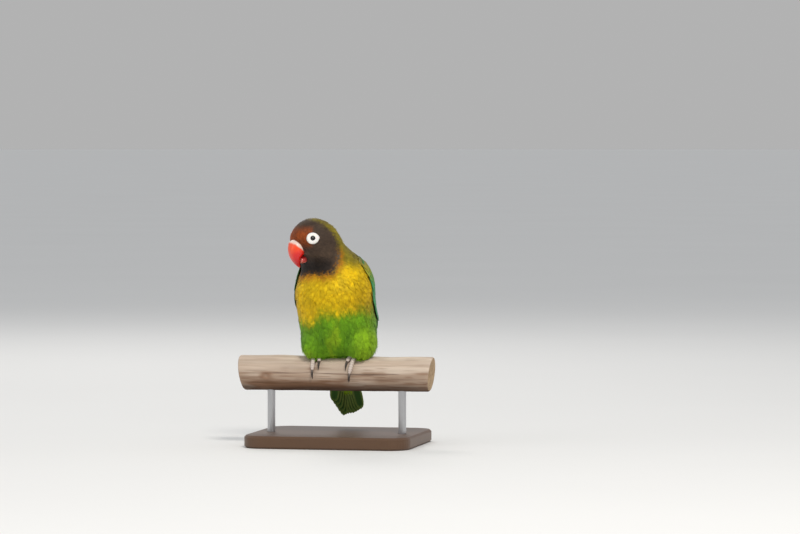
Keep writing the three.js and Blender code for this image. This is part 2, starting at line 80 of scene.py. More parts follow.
# --------------------------------------------- the body as one smooth volume
def egg(p, c, r, axes=None, lean=0.0):
    q = p - np.asarray(c, float)
    if axes is not None:
        q = q @ axes.T
    if lean:
        k, s = np.cos(rad(lean)), np.sin(rad(lean))
        q = np.stack([q[..., 0], k * q[..., 1] + s * q[..., 2], -s * q[..., 1] + k * q[..., 2]], -1)
    r = np.asarray(r, float)
    a = np.linalg.norm(q / r, axis=-1)
    b = np.linalg.norm(q / (r * r), axis=-1)
    return a * (a - 1) / np.maximum(b, 1e-9)


def blend(a, b, k):
    h = np.maximum(k - np.abs(a - b), 0) / k
    return np.minimum(a, b) - h * h * k / 4


def carve(a, b, k):
    return -blend(-a, -b, k)


def head_field(p):
    h = egg(p, at_head(0, 1.7, 0.75), [13.4, 16.2, 15.0], AXES)
    h = blend(h, egg(p, at_head(0, -5.6, -5), [12.0, 10.6, 12.0], AXES), 8)
    h = blend(h, egg(p, at_head(0, 4.5, -6.5), [12.2, 9.2, 9.6], AXES), 5)
    q = p - at_head(0, 17.6, 1.3)
    return carve(h, 0.81 * (q @ FORE) - 0.585 * (q @ UP), 3.5)


def body_field(p):
    d = egg(p, [-0.8, -3.3, 96.5], [25.1, 23.4, 25])
    d = blend(d, egg(p, [0.9, 1.5, 76], [24.4, 21.5, 19.5]), 12)
    d = blend(d, egg(p, [0.5, 12, 74], [20, 16, 26], None, -14), 10)
    d = blend(d, egg(p, [-0.9, 25, 57.5], [10.6, 6.6, 21.5], None, 20), 8)
    d = blend(d, egg(p, [0.2, 0.5, 106.4], [19.2, 15.6, 15]), 10)
    for s in (-1, 1):
        d = blend(d, egg(p, [2.3 + 14.8 * s, -2.6, 65.4], [9.8, 12.8, 11.3]), 6)
    d = blend(d, egg(p, [-3.2, -4.6, 116.6], [14.1, 13.4, 14.2]), 11.5)
    d = blend(d, head_field(p), 7)
    perch = np.hypot(p[..., 1], p[..., 2] - PERCH_Z) - PERCH_R - GAP - 0.15
    return carve(d, -perch, 1.5)


def gradient(f, p, e=0.25):
    g = np.empty_like(p)
    for k in range(3):
        d = np.zeros(3)
        d[k] = e
        g[..., k] = f(p + d) - f(p - d)
    return unit(g)


def onto(p, iso, steps=4):
    """Moves points along the normal to body_field = iso; returns them with their normals."""
    for _ in range(steps):
        n = gradient(body_field, p)
        p = p - n * (body_field(p) - iso)[..., None]
    return p, gradient(body_field, p)


# -------------------------------------------------------------- noise (3-D)
_perm = np.random.default_rng(7).permutation(4096)
_vals = np.random.default_rng(8).random(4096) * 2 - 1


def noise(p, size, seed=0):
    q = np.asarray(p, float) / size + 31.7 * (seed + 1)
    i = np.floor(q).astype(np.int64)
    f = q - i
    f = f * f * (3 - 2 * f)
    out = 0.0
    for dx in (0, 1):
        for dy in (0, 1):
            for dz in (0, 1):
                h = _perm[(_perm[(_perm[(i[..., 0] + dx) & 4095] + i[..., 1] + dy) & 4095] + i[..., 2] + dz) & 4095]
                w = (f[..., 0] if dx else 1 - f[..., 0]) * (f[..., 1] if dy else 1 - f[..., 1]) * (f[..., 2] if dz else 1 - f[..., 2])
                out = out + w * _vals[h]
    return out


def mix(a, b, t):
    t = np.asarray(t)[..., None]
    return np.asarray(a) * (1 - t) + np.asarray(b) * t


def srgb(*c):
    c = np.array(c, float) / 255
    return np.where(c <= 0.04045, c / 12.92, ((c + 0.055) / 1.055) ** 2.4)


# ----------------------------------------------------------- the markings and painted shade
RUST, MASK, MASK_DARK = srgb(158, 74, 24), srgb(70, 55, 44), srgb(24, 18, 15)
OLIVE, OLIVE_DARK = srgb(132, 118, 20), srgb(92, 78, 30)
OLIVE_GOLD = srgb(158, 134, 10)
ORANGE, YELLOW, YELLOW_DEEP = srgb(176, 108, 8), srgb(238, 198, 0), srgb(176, 140, 0)
GREEN, GREEN_BRIGHT, GREEN_DARK = srgb(106, 158, 16), srgb(160, 190, 24), srgb(62, 112, 16)
BACK_GREEN, RUMP = srgb(74, 130, 24), srgb(92, 124, 136)


def markings_and_shade(p):
    """Linear colour of the coat at points of the surface: its markings, with painted shade on the breast's sides."""
    q = head_lfu(p)
    l, f, u = q[..., 0], q[..., 1], q[..., 2]
    x, y, z = p[..., 0], p[..., 1], p[..., 2]
    n1, n2, n3 = noise(p, 7, 1), noise(p, 3, 2), noise(p, 14, 3)
    # trunk: yellow above, green below; the border dips towards the bird's right
    border = np.interp(x, [-25, -20, -13, -5, 2, 14, 22, 26], [84, 82.5, 80.5, 87, 89, 88, 92, 95]) + 2.4 * n1 + 1.6 * n2
    c = mix(GREEN, YELLOW, smooth(-2.6, 3.2, z - border))
    bright = smooth(0.15, 0.7, noise(p * [1, 1, 0.45], 5.5, 5)) * smooth(85, 76, z)
    c = mix(c, GREEN_BRIGHT, 0.55 * bright)
    c = mix(c, GREEN_DARK, 0.45 * smooth(0.1, 0.7, noise(p * [1, 1, 0.6], 6, 6)) * smooth(88, 78, z))
    # lime flanks low on the bird's left, gold and olive clouds over the breast; the clouds grow heavier on the bird's
    # right and an olive gold wash lies high on that side, both painted shade
    c = mix(c, GREEN_BRIGHT, 0.38 * smooth(9, 21, x + 2.5 * n1) * smooth(82, 72, z + 2 * n2) * smooth(8, 0, y))
    c = mix(c, ORANGE, 0.22 * smooth(0.1, 0.7, noise(p * [1, 1, 0.6], 8, 9)) * smooth(86, 92, z) * smooth(112, 104, z))
    cloud = smooth(-0.35, 0.55, noise(p * [1, 1, 0.5], 9, 10) + 0.5 * noise(p * [1, 1, 0.5], 4, 11))
    c = mix(c, OLIVE_GOLD, cloud * (0.28 + 0.5 * smooth(-6, -17, x)) * smooth(80, 88, z) * smooth(122, 112, z))
    c = mix(c, OLIVE_GOLD, 0.55 * smooth(105, 111, z + 2 * n1) * smooth(0, -14, x))
    # olive mottles on the breast, with painted shade that darkens the breast towards the sides
    c = mix(c, YELLOW_DEEP, (0.45 * smooth(-0.1, 0.6, n1) + 0.35 * smooth(14, 24, np.abs(x))) * smooth(84, 92, z))
    # back and sides behind the breast: green
    side = smooth(-2, 9, y - 0.10 * (z - 90) + 2 * n1)
    c = mix(c, BACK_GREEN, side * smooth(124, 106, z))
    c = mix(c, mix(BACK_GREEN, OLIVE, 0.5), side * smooth(104, 116, z) * 0.8)
    # rump and upper tail coverts
    c = mix(c, RUMP, smooth(26, 31, y) * smooth(80, 70, z) * smooth(11, 6, np.abs(x + 0.9)) * 0.7)
    # neck: olive nape, yellow collar that is wide in front
    neck = smooth(107, 114, z + 0.25 * y + 2 * n1)
    nape = smooth(-4, -13, f - 0.55 * u * 0 + 1.5 * n1)
    c = mix(c, YELLOW, neck * (1 - nape) * 0.6 * smooth(124, 113, z + 2 * n1))
    c = mix(c, OLIVE, neck * smooth(112, 124, z + 2 * n1) * 0.9)
    c = mix(c, OLIVE, neck * nape * smooth(112, 122, z))
    hind = smooth(-9, -15, f) * smooth(116, 124, z)
    c = mix(c, OLIVE_DARK, 0.35 * hind * smooth(-0.2, 0.6, n2))
    c = mix(c, OLIVE_DARK, 0.75 * smooth(5, 12, u + 1.2 * n1) * smooth(-14, -4, f))
    # the brown mask, edged with an orange brown wash
    # behind the eye the mask ends on a curve; below it reaches the throat
    back = -8.6 + 0.055 * (u + 1) ** 2 * np.where(u > 0, 1.0, 0.35)
    down = -19.5 + 0.06 * np.clip(f, -20, 20) ** 2 * np.where(f < 0, 1.0, 0.0)
    m = np.minimum(f - back, (u - down)) + 0.9 * n2 + 0.7 * n1
    c = mix(c, ORANGE, smooth(-5.5, -0.5, m) * smooth(-1, -9, u) * 0.9)
    c = mix(c, OLIVE, smooth(-4.5, 0.0, m) * smooth(2, 9, u) * 0.8)
    k = mix(MASK, srgb(92, 74, 58), 0.5 * smooth(-0.2, 0.7, n2))
    k = mix(k, OLIVE_DARK, 0.55 * smooth(5, -7, f) * smooth(4, 13, u))
    throat = smooth(-7.5, -14, u - 0.15 * f) * smooth(-8, 2, f)
    k = mix(k, MASK_DARK, 0.85 * throat)
    front = smooth(7.2, 11.0, f + 0.20 * u + 0.8 * n1) * smooth(-3.5, 0.5, u) * smooth(11.5, 7.0, u)
    k = mix(k, RUST, (0.92 - 0.25 * smooth(0.1, 0.7, n2)) * front)
    lore = np.exp(-(((f - 13) / 2.6) ** 2 + ((u + 0.5) / 2.2) ** 2))
    k = mix(k, MASK_DARK, 0.45 * lore)
    # a small pale spot on the near cheek below the eye, and a greyer fringe behind
    k = mix(k, srgb(120, 108, 92), 0.55 * smooth(3.2, 0.6, m) * smooth(-0.3, 0.5, n2) * smooth(6, -2, u) * smooth(3, -4, f) * smooth(-15, -9, u))
    k = mix(k, srgb(150, 134, 118), 0.75 * np.exp(-(((f - 12.2) / 1.3) ** 2 + ((u + 5.4) / 0.7) ** 2)) * (l > 0))
    c = mix(c, k, smooth(-0.9, 0.9, m))
    return c


# --------------------------------------------------- an unwrap of the skin
def unwrap(p):
    """Round and along the body: the axis runs from the vent up the trunk and
    bends into the head."""
    z = p[..., 2]
    cx = np.interp(z, [40, 100, 118, 131, 150], [0, 0, -4, -10.6, -10.6])
    cy = np.interp(z, [40, 60, 80, 100, 118, 131, 150], [26, 14, 4, -1, -5, -13.5, -13.5])
    a = np.arctan2(p[..., 0] - cx, -(p[..., 1] - cy))
    return np.stack([0.5 + a / (2 * np.pi) * 0.96, np.clip((z - 30) / 120, 0.01, 0.99)], -1)


# ------------------------------------------------------------ mesh building
def make(name, verts, faces, colour=None, uv=None, smooth_faces=True, normals=None):
    """verts (n,3) in mm; faces: list of integer arrays (k,3) or (k,4); colour
    (n,3) linear, per vertex; uv (n,2) per vertex."""
    verts = (np.asarray(verts, float) + SHIFT) * MM
    faces = [np.asarray(f, np.int64) for f in (faces if isinstance(faces, list) else [faces]) if len(f)]
    loops = np.concatenate([f.ravel() for f in faces])
    sizes = np.concatenate([np.full(len(f), f.shape[1]) for f in faces])
    starts = np.concatenate([[0], np.cumsum(sizes)[:-1]])
    me = bpy.data.meshes.new(name)
    me.vertices.add(len(verts))
    me.vertices.foreach_set("co", verts.ravel())
    me.loops.add(len(loops))
    me.loops.foreach_set("vertex_index", loops.astype(np.int32))
    me.polygons.add(len(sizes))
    me.polygons.foreach_set("loop_start", starts.astype(np.int32))
    me.polygons.foreach_set("loop_total", sizes.astype(np.int32))
    me.update(calc_edges=True)
    me.polygons.foreach_set("use_smooth", np.full(len(sizes), smooth_faces))
    if colour is not None:
        a = me.color_attributes.new("Col", "FLOAT_COLOR", "POINT")
        rgba = np.ones((len(verts), 4))
        rgba[:, :3] = np.clip(colour, 0, 1)
        a.data.foreach_set("color", rgba.ravel())
    if uv is not None:
        layer = me.uv_layers.new(name="OFBake")
        layer.data.foreach_set("uv", np.asarray(uv, float)[loops].ravel())
    me.validate()
    me.update()
    if normals is not None:
        own = np.empty(len(verts) * 3)
        me.vertex_normals.foreach_get("vector", own)
        own = own.reshape(-1, 3)
        own = own * np.where((own * normals).sum(1) < 0, -1, 1)[:, None]
        me.normals_split_custom_set_from_vertices(unit(0.62 * normals + 0.38 * own).tolist())
    ob = bpy.data.objects.new(name, me)
    bpy.context.scene.collection.objects.link(ob)
    return ob


def surface_net(f, lo, hi, step):
    """Closed quad surface of f = 0 on a grid (naive surface nets)."""
    ax = [np.arange(lo[k], hi[k] + step, step) for k in range(3)]
    G = np.stack(np.meshgrid(*ax, indexing="ij"), -1)
    v = f(G)
    s = v < 0
    n = np.array(v.shape)
    corners = [(i, j, k) for i in (0, 1) for j in (0, 1) for k in (0, 1)]
    cut = lambda A, c: A[c[0]:n[0] - 1 + c[0], c[1]:n[1] - 1 + c[1], c[2]:n[2] - 1 + c[2]]
    count = sum(cut(s, c).astype(int) for c in corners)
    active = (count > 0) & (count < 8)
    acc = np.zeros(active.shape + (3,))
    num = np.zeros(active.shape)
    for a in corners:
        for k in range(3):
            if a[k]:
                continue
            b = list(a)
            b[k] = 1
            va, vb = cut(v, a), cut(v, b)
            cross = (va < 0) != (vb < 0)
            t = np.where(cross, va / np.where(cross, va - vb, 1), 0)
            for m in range(3):
                acc[..., m] += np.where(cross, a[m] + (t if m == k else 0), 0)
            num += cross
    ids = -np.ones(active.shape, np.int64)
    cells = np.argwhere(active)
    ids[tuple(cells.T)] = np.arange(len(cells))
    pts = acc[active] / num[active][:, None]
    verts = np.array(lo) + (cells + pts) * step
    quads = []
    for k in range(3):
        i, j = (k + 1) % 3, (k + 2) % 3
        a = [slice(1, -1)] * 3
        a[k] = slice(0, -1)
        b = list(a)
        b[k] = slice(1, None)
        sa, sb = s[tuple(a)], s[tuple(b)]
        for inside in (True, False):
            e = np.argwhere((sa == inside) & (sb != inside))
            if not len(e):
                continue
            e = e + np.array([0 if m == k else 1 for m in range(3)])
            di, dj = np.zeros(3, int), np.zeros(3, int)
            di[i], dj[j] = 1, 1
            q = np.stack([ids[tuple((e - di - dj).T)], ids[tuple((e - dj).T)], ids[tuple(e.T)], ids[tuple((e - di).T)]], -1)
            quads.append(q if inside else q[:, ::-1])
    return verts, np.concatenate(quads)


# ---------------------------------------------------------------- materials
def material(name, base=(0.5, 0.5, 0.5), rough=0.6, metal=0.0, attribute=None, vary=0.0, vary_size=400.0, bump=0.0,
             bump_size=900.0, sheen=0.0, specular=0.5, coat=0.0, subsurface=0.0, stretch=(1, 1, 1), two=None):
    m = bpy.data.materials.new(name)
    m.use_nodes = True
    nt = m.node_tree
    bs = nt.nodes["Principled BSDF"]
    bs.inputs["Roughness"].default_value = rough
    bs.inputs["Metallic"].default_value = metal
    bs.inputs["Specular IOR Level"].default_value = specular
    if sheen:
        bs.inputs["Sheen Weight"].default_value = sheen
        bs.inputs["Sheen Roughness"].default_value = 0.5
    if coat:
        bs.inputs["Coat Weight"].default_value = coat
        bs.inputs["Coat Roughness"].default_value = 0.06
    if subsurface:
        bs.inputs["Subsurface Weight"].default_value = subsurface
        bs.inputs["Subsurface Radius"].default_value = (0.0012, 0.0005, 0.0003)
        bs.inputs["Subsurface Scale"].default_value = 1.0
    tc = nt.nodes.new("ShaderNodeTexCoord")
    mp = nt.nodes.new("ShaderNodeMapping")
    mp.inputs["Scale"].default_value = stretch
    nt.links.new(tc.outputs["Object"], mp.inputs["Vector"])
    nz = nt.nodes.new("ShaderNodeTexNoise")
    nz.inputs["Scale"].default_value = vary_size
    nz.inputs["Detail"].default_value = 4.0
    nt.links.new(mp.outputs["Vector"], nz.inputs["Vector"])
    if attribute:
        at = nt.nodes.new("ShaderNodeVertexColor")
        at.layer_name = attribute
        source = at.outputs["Color"]
    else:
        rgb = nt.nodes.new("ShaderNodeRGB")
        rgb.outputs[0].default_value = (*base, 1)
        source = rgb.outputs[0]
    if two is not None:
        ramp = nt.nodes.new("ShaderNodeMix")
        ramp.data_type = "RGBA"
        ramp.inputs["B"].default_value = (*two, 1)
        nt.links.new(source, ramp.inputs["A"])
        nt.links.new(nz.outputs["Fac"], ramp.inputs["Factor"])
        source = ramp.outputs["Result"]
    rng = nt.nodes.new("ShaderNodeMapRange")
    rng.inputs["From Min"].default_value = 0.25
    rng.inputs["From Max"].default_value = 0.75
    rng.inputs["To Min"].default_value = 1 - vary
    rng.inputs["To Max"].default_value = 1 + vary
    nt.links.new(nz.outputs["Fac"], rng.inputs["Value"])
    mul = nt.nodes.new("ShaderNodeVectorMath")
    mul.operation = "SCALE"
    nt.links.new(source, mul.inputs[0])
    nt.links.new(rng.outputs["Result"], mul.inputs["Scale"])
    nt.links.new(mul.outputs["Vector"], bs.inputs["Base Color"])
    if bump:
        nb = nt.nodes.new("ShaderNodeTexNoise")
        nb.inputs["Scale"].default_value = bump_size
        nb.inputs["Detail"].default_value = 3.0
        nt.links.new(mp.outputs["Vector"], nb.inputs["Vector"])
        bp = nt.nodes.new("ShaderNodeBump")
        bp.inputs["Strength"].default_value = 0.6
        bp.inputs["Distance"].default_value = bump
        nt.links.new(nb.outputs["Fac"], bp.inputs["Height"])
        nt.links.new(bp.outputs["Normal"], bs.inputs["Normal"])
    return m


MAT_COAT = material("coat", attribute="Col", rough=0.62, vary=0.10, vary_size=700, sheen=0.08, specular=0.2)
MAT_WING = material("wing", attribute="Col", rough=0.48, vary=0.08, vary_size=600, sheen=0.05, specular=0.3)
MAT_SKIN = material("skin", attribute="Col", rough=0.8, vary=0.08, vary_size=500, specular=0.15)
MAT_BILL = material("bill_horn", attribute="Col", rough=0.30, vary=0.06, vary_size=450, bump=0.00004, bump_size=1500, specular=0.5, coat=0.25, subsurface=0.12)
MAT_RING = material("eye_ring_skin", attribute="Col", rough=0.62, vary=0.05, vary_size=1500, bump=0.00006, bump_size=2600, subsurface=0.1)
MAT_EYE = material("eye_globe", attribute="Col", rough=0.10, vary=0.04, vary_size=900, specular=0.35, coat=0.25)
MAT_FOOT = material("foot_scales", attribute="Col", rough=0.58, vary=0.10, vary_size=900, bump=0.00005, bump_size=2200, specular=0.35)
MAT_CLAW = material("claw_horn", attribute="Col", rough=0.38, vary=0.12, vary_size=900, specular=0.4)
MAT_WOOD = material("perch_wood", attribute="Col", rough=0.82, vary=0.16, vary_size=260, bump=0.00018, bump_size=700, stretch=(0.10, 1, 1), specular=0.25)
MAT_BASE = material("base_wood", base=(0.155, 0.082, 0.042), two=(0.075, 0.036, 0.018), rough=0.42, vary=0.14, vary_size=110, bump=0.00006,
                    bump_size=500, stretch=(0.12, 1, 1), specular=0.4, coat=0.08)
MAT_ROD = material("rod_steel", base=(0.52, 0.52, 0.53), rough=0.30, metal=1.0, vary=0.05, vary_size=900, stretch=(1, 1, 0.1))


def finish(ob, mat, slot, *nodes):
    ob.data.materials.clear()
    ob.data.materials.append(mat)
    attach(ob, "root")
    if nodes:
        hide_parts(*nodes)
    return ob


# ------------------------------------------------------------------ the skin
sv, sq = surface_net(lambda p: body_field(p) + COAT, (-33, -36, 30), (33, 44, 152), 1.15)
skin_n = gradient(body_field, sv)
# the skin carries the coat's markings darkened to 0.72: painted shade in the gaps between the tufts
skin = make("skin", sv, sq, markings_and_shade(sv) * 0.72, unwrap(sv))
finish(skin, MAT_SKIN, "breast_feather", "head", "neck", "trunk", "thigh_left", "thigh_right")

# ------------------------------------------------------- placing the tufts
BILL_ROOT = at_head(0.0, 17.5, -4.0)


def flow(p, n):
    """Which way the coat lies."""
    q = head_lfu(p)
    away = unit(p - at_head(0.0, 19.0, 0.5))
    away = unit(away - 0.25 * FORE * 1.0)
    down = np.stack([0.10 * np.sign(p[..., 0]) * smooth(60, 80, p[..., 2]), np.full(p.shape[:-1], 0.16), np.full(p.shape[:-1], -1.0)], -1)
    back = smooth(4, 14, p[..., 1])
    down = down + back[..., None] * np.array([0, 0.28, 0])
    t = smooth(120, 108, p[..., 2] - 0.35 * np.clip(q[..., 1], -20, 20) * 0 + 0.0)
    t = np.maximum(t, smooth(-6, -17, q[..., 1]) * smooth(136, 122, p[..., 2]))
    d = away * (1 - t)[..., None] + unit(down) * t[..., None]
    d = d - n * (d * n).sum(-1, keepdims=True)
    return unit(d)


def spacing(p):
    q = head_lfu(p)
    s = np.interp(q[..., 1], [-16, -6, 4, 12, 17], [1.5, 1.15, 0.9, 0.75, 0.66])
    body = smooth(116, 103, p[..., 2])
    s = s * (1 - body) + 1.7 * body
    return np.where(p[..., 2] < 64, s * 0.85, s)


eye_at = {s: at_head(s * EYE["l"], EYE["f"], EYE["u"]) for s in (1, -1)}
eye_surface, eye_normal = {}, {}
for s in (1, -1):
    start = at_head(0, 2.5, 0.5)
    direction = unit(eye_at[s] - start)
    a, b = 0.0, 40.0
    for _ in range(40):
        m = (a + b) / 2
        if body_field(start + direction * m) < 0:
            a = m
        else:
            b = m
    eye_surface[s] = start + direction * a
    eye_normal[s] = gradient(body_field, eye_surface[s])


def bare(p):
    """True where no coat grows: the eyes, the bill's base, the perch side."""
    out = np.zeros(p.shape[:-1], bool)
    for s in (1, -1):
        out |= np.linalg.norm(p - eye_surface[s], axis=-1) < EYE["ring"] - 0.62
    q = head_lfu(p)
    bill = (q[..., 1] > 12.6 + 0.02 * q[..., 0] ** 2) & (q[..., 2] < 1.7 - 0.06 * q[..., 0] ** 2 * 1.0) & (np.abs(q[..., 0]) < 5.6) & (q[..., 2] > -11.5)
    out |= bill
    out |= np.hypot(p[..., 1], p[..., 2] - PERCH_Z) < PERCH_R + 1.1
    return out


tri_a, tri_b, tri_c, tri_d = (sv[sq[:, k]] for k in range(4))
area = 0.5 * (np.linalg.norm(np.cross(tri_b - tri_a, tri_c - tri_a), axis=1) + np.linalg.norm(np.cross(tri_c - tri_a, tri_d - tri_a), axis=1))
NCAND = 90000
weight = area / spacing((tri_a + tri_c) / 2) ** 2
pick = RNG.choice(len(sq), NCAND, p=weight / weight.sum())
w1, w2 = RNG.random(NCAND), RNG.random(NCAND)
cand = (tri_a[pick] * (1 - w1)[:, None] + tri_b[pick] * w1[:, None]) * (1 - w2)[:, None] + \
       (tri_d[pick] * (1 - w1)[:, None] + tri_c[pick] * w1[:, None]) * w2[:, None]
cand_s = spacing(cand)
keep, cells = [], {}
CELL = 2.2
for i in range(NCAND):
    p = cand[i]
    key = (int(p[0] // CELL), int(p[1] // CELL), int(p[2] // CELL))
    s2 = (cand_s[i] * 0.86) ** 2
    ok = True
    for dx in (-1, 0, 1):
        for dy in (-1, 0, 1):
            for dz in (-1, 0, 1):
                for j in cells.get((key[0] + dx, key[1] + dy, key[2] + dz), ()):
                    d = cand[j] - p
                    if d[0] * d[0] + d[1] * d[1] + d[2] * d[2] < s2:
                        ok = False
                        break
                if not ok:
                    break
            if not ok:
                break
        if not ok:
            break
    if ok:
        cells.setdefault(key, []).append(i)
        keep.append(i)
roots = cand[keep]
roots, root_n = onto(roots, -COAT, 2)
mask = ~bare(roots)
roots, root_n = roots[mask], root_n[mask]


# ------------------------------------------------------------ tuft meshes
def vanes(root, n, d, length, width, lift, colour, tip_colour, curl=0.25, strips=7, uvs=None, fray=0.42, seed=1):
    """Small contour feathers: a joined base that parts into tapering locks.
    All arrays are per feather. Returns verts, quads, tris, colour, uv."""
    rng = np.random.default_rng(seed)
    N = len(root)
    b = np.cross(n, d)
    cols = strips + 1
    xs = np.linspace(-1, 1, cols)
    V, C, U = [], [], []
    rows = [0.0, 0.28, 0.50]
    prof = [0.42, 0.92, 1.0]
    P = lambda t, x: None
    def point(t, x, w, out):
        """t along, x across (-1..1), w half-width factor, out extra lift"""
        along = length * t
        rise = lift * t - curl * lift * t * t * 1.6 + 0.16 * length * np.sin(t * 2.2) * 0.25
        camber = -0.20 * width * (x * w) ** 2
        return root + d * along[:, None] + b * (width * x * w)[:, None] + n * (rise + camber + out)[:, None]
    grid = []
    for t, w in zip(rows, prof):
        grid.append([point(np.full(N, t), np.full(N, x), np.full(N, w), np.zeros(N)) for x in xs])
    base = np.stack([np.stack(r, 1) for r in grid], 1)  # N, rows, cols, 3
    tips = []
    for k in range(strips):
        xm = (xs[k] + xs[k + 1]) / 2
        reach = 1.0 - 0.30 * xm * xm + fray * (rng.random(N) - 0.5)
        dx = 0.10 * (rng.random(N) - 0.5)
        tips.append(point(reach, xm * 0.86 + dx, np.full(N, 0.9), 0.05 * length * (rng.random(N) - 0.4)))
    tips = np.stack(tips, 1)  # N, strips, 3
    nb = len(rows) * cols
    per = nb + strips
    verts = np.concatenate([base.reshape(N, nb, 3), tips], 1)
    tt = np.concatenate([np.repeat(rows, cols), np.ones(strips)])
    xx = np.concatenate([np.tile(xs, len(rows)), (xs[:-1] + xs[1:]) / 2])
    shade = 0.88 + 0.12 * smooth(0.0, 0.55, tt)
    streak = 1 + 0.10 * (rng.random((N, 1)) - 0.5) + 0.07 * (rng.random((N, per)) - 0.5)
    col = colour[:, None, :] * (1 - smooth(0.45, 1.0, tt))[None, :, None] + tip_colour[:, None, :] * smooth(0.45, 1.0, tt)[None, :, None]
    col = col * shade[None, :, None] * streak[..., None]
    quads, tris = [], []
    for r in range(len(rows) - 1):
        for k in range(strips):
            a = r * cols + k
            quads.append([a, a + cols, a + 1 + cols, a + 1])
    last = (len(rows) - 1) * cols
    for k in range(strips):
        tris.append([last + k, nb + k, last + k + 1])
    off = (np.arange(N) * per)[:, None, None]
    quads = (np.array(quads)[None] + off).reshape(-1, 4)
    tris = (np.array(tris)[None] + off).reshape(-1, 3)
    uv = uvs[:, None, :] + 0.0014 * np.stack([xx, tt * 2 - 1], -1)[None]
    return verts.reshape(-1, 3), quads, tris, col.reshape(-1, 3), uv.reshape(-1, 2), np.repeat(n, per, axis=0)


q = head_lfu(roots)
size = spacing(roots)
facing = smooth(118, 104, roots[:, 2])
length = size * np.interp(facing, [0, 1], [3.1, 3.5]) * (1 + 0.18 * RNG.standard_normal(len(roots)).clip(-1.5, 1.5))
width = size * 0.80 * (1 + 0.10 * RNG.standard_normal(len(roots)).clip(-1.5, 1.5))
d = flow(roots, root_n)
b = np.cross(root_n, d)
twist = 0.13 * RNG.standard_normal(len(roots)) + 0.22 * noise(roots, 6, 11)
d = unit(d * np.cos(twist)[:, None] + b * np.sin(twist)[:, None])
lift = np.full(len(roots), COAT * 0.85) * (1 + 0.22 * RNG.standard_normal(len(roots)).clip(-1.5, 2))
lift = lift * np.interp(q[:, 1], [8, 15], [1.0, 0.55])
near_eye = np.minimum(*[np.linalg.norm(roots - eye_surface[s], axis=1) for s in (1, -1)])
length = length * np.interp(near_eye, [4, 7], [0.55, 1.0])
lift = lift * np.interp(near_eye, [4, 7], [0.6, 1.0])
tip_at = roots + d * length[:, None]
col_root = markings_and_shade(roots)
col_tip = markings_and_shade(tip_at)
var = 1 + 0.16 * noise(roots, 2.2, 21) + 0.08 * RNG.standard_normal(len(roots)).clip(-2, 2)
col_root = col_root * var[:, None]
col_tip = col_tip * (var * 1.04)[:, None]
order = np.argsort(-roots[:, 2])
groups = np.array_split(order, max(1, int(np.ceil(len(order) * 35 / 180000))))
n_tris = 0
for gi, g in enumerate(groups):
    V, Q, T, C, U, NN = vanes(roots[g], root_n[g], d[g], length[g], width[g], lift[g], col_root[g], col_tip[g], uvs=unwrap(roots[g]), seed=100 + gi)
    n_tris += 2 * len(Q) + len(T)
    finish(make("coat_%d" % gi, V, [Q, T], C, U, normals=NN), MAT_COAT, "breast_feather")
print("body feathers", len(roots), "triangles", n_tris, "pieces", len(groups))

# ----------------------------------------------------------------- the wings
WING_FROM, WING_LEAN, WING_LEN = np.array([0.0, -1.0, 119.0]), rad(23), 88.0
W_AXIS = np.array([0, np.sin(WING_LEAN), -np.cos(WING_LEAN)])
W_BACK = np.array([0, np.cos(WING_LEAN), np.sin(WING_LEAN)])
FRONT = table([[0, 80], [0.1, 71], [0.25, 65], [0.36, 68], [0.5, 82], [0.6, 92], [0.7, 106], [0.85, 122], [1, 132]])
REAR = table([[0, 112], [0.1, 134], [0.25, 152], [0.5, 169], [0.7, 175], [0.85, 172], [1, 160]])
BLADE = table([[0, 0], [0.45, 10], [0.6, 15.5], [0.75, 11.5], [0.88, 6.8], [1, 4.0]])


def spoke(side, deg):
    a = rad(deg)
    return np.multiply.outer(side * np.sin(a), np.array([1.0, 0, 0])) - np.multiply.outer(np.cos(a), W_BACK)


# reach of the body along each spoke, tabled once
S_GRID, D_GRID = np.linspace(0, 1, 60), np.linspace(40, 180, 71)
REACH = {}
for side in (1, -1):
    ss, dd = np.meshgrid(S_GRID, D_GRID, indexing="ij")
    start = WING_FROM + ss[..., None] * W_AXIS * WING_LEN
    ray = spoke(side, dd)
    lo, hi = np.zeros(ss.shape), np.full(ss.shape, 45.0)
    for _ in range(20):
        m = (lo + hi) / 2
        inside = body_field(start + ray * m[..., None]) < -0.15
        lo, hi = np.where(inside, m, lo), np.where(inside, hi, m)
    REACH[side] = np.where(body_field(start) > 0, 0.0, lo)


def reach(side, s, deg):
    i = np.clip(s, 0, 1) * (len(S_GRID) - 1)
    j = (np.clip(deg, 40, 180) - 40) / 140 * (len(D_GRID) - 1)
    i0, j0 = np.minimum(i.astype(int), len(S_GRID) - 2), np.minimum(j.astype(int), len(D_GRID) - 2)
    a, b = i - i0, j - j0
    R = REACH[side]
    return R[i0, j0] * (1 - a) * (1 - b) + R[i0 + 1, j0] * a * (1 - b) + R[i0, j0 + 1] * (1 - a) * b + R[i0 + 1, j0 + 1] * a * b


def wing_point(side, s, v, h):
    """On the folded wing: s down its length, v from front edge to rear edge,
    h millimetres out from the body."""
    s, v, h = np.broadcast_arrays(np.asarray(s, float), v, h)
    sc = np.clip(s, 0, 1)
    deg = FRONT(sc) * (1 - v) + REAR(sc) * v
    r = np.maximum(reach(side, sc, deg), BLADE(sc) * (1 - 0.12 * np.cos(rad(2 * deg))))
    return WING_FROM + s[..., None] * W_AXIS * WING_LEN + spoke(side, deg) * (r + h)[..., None]


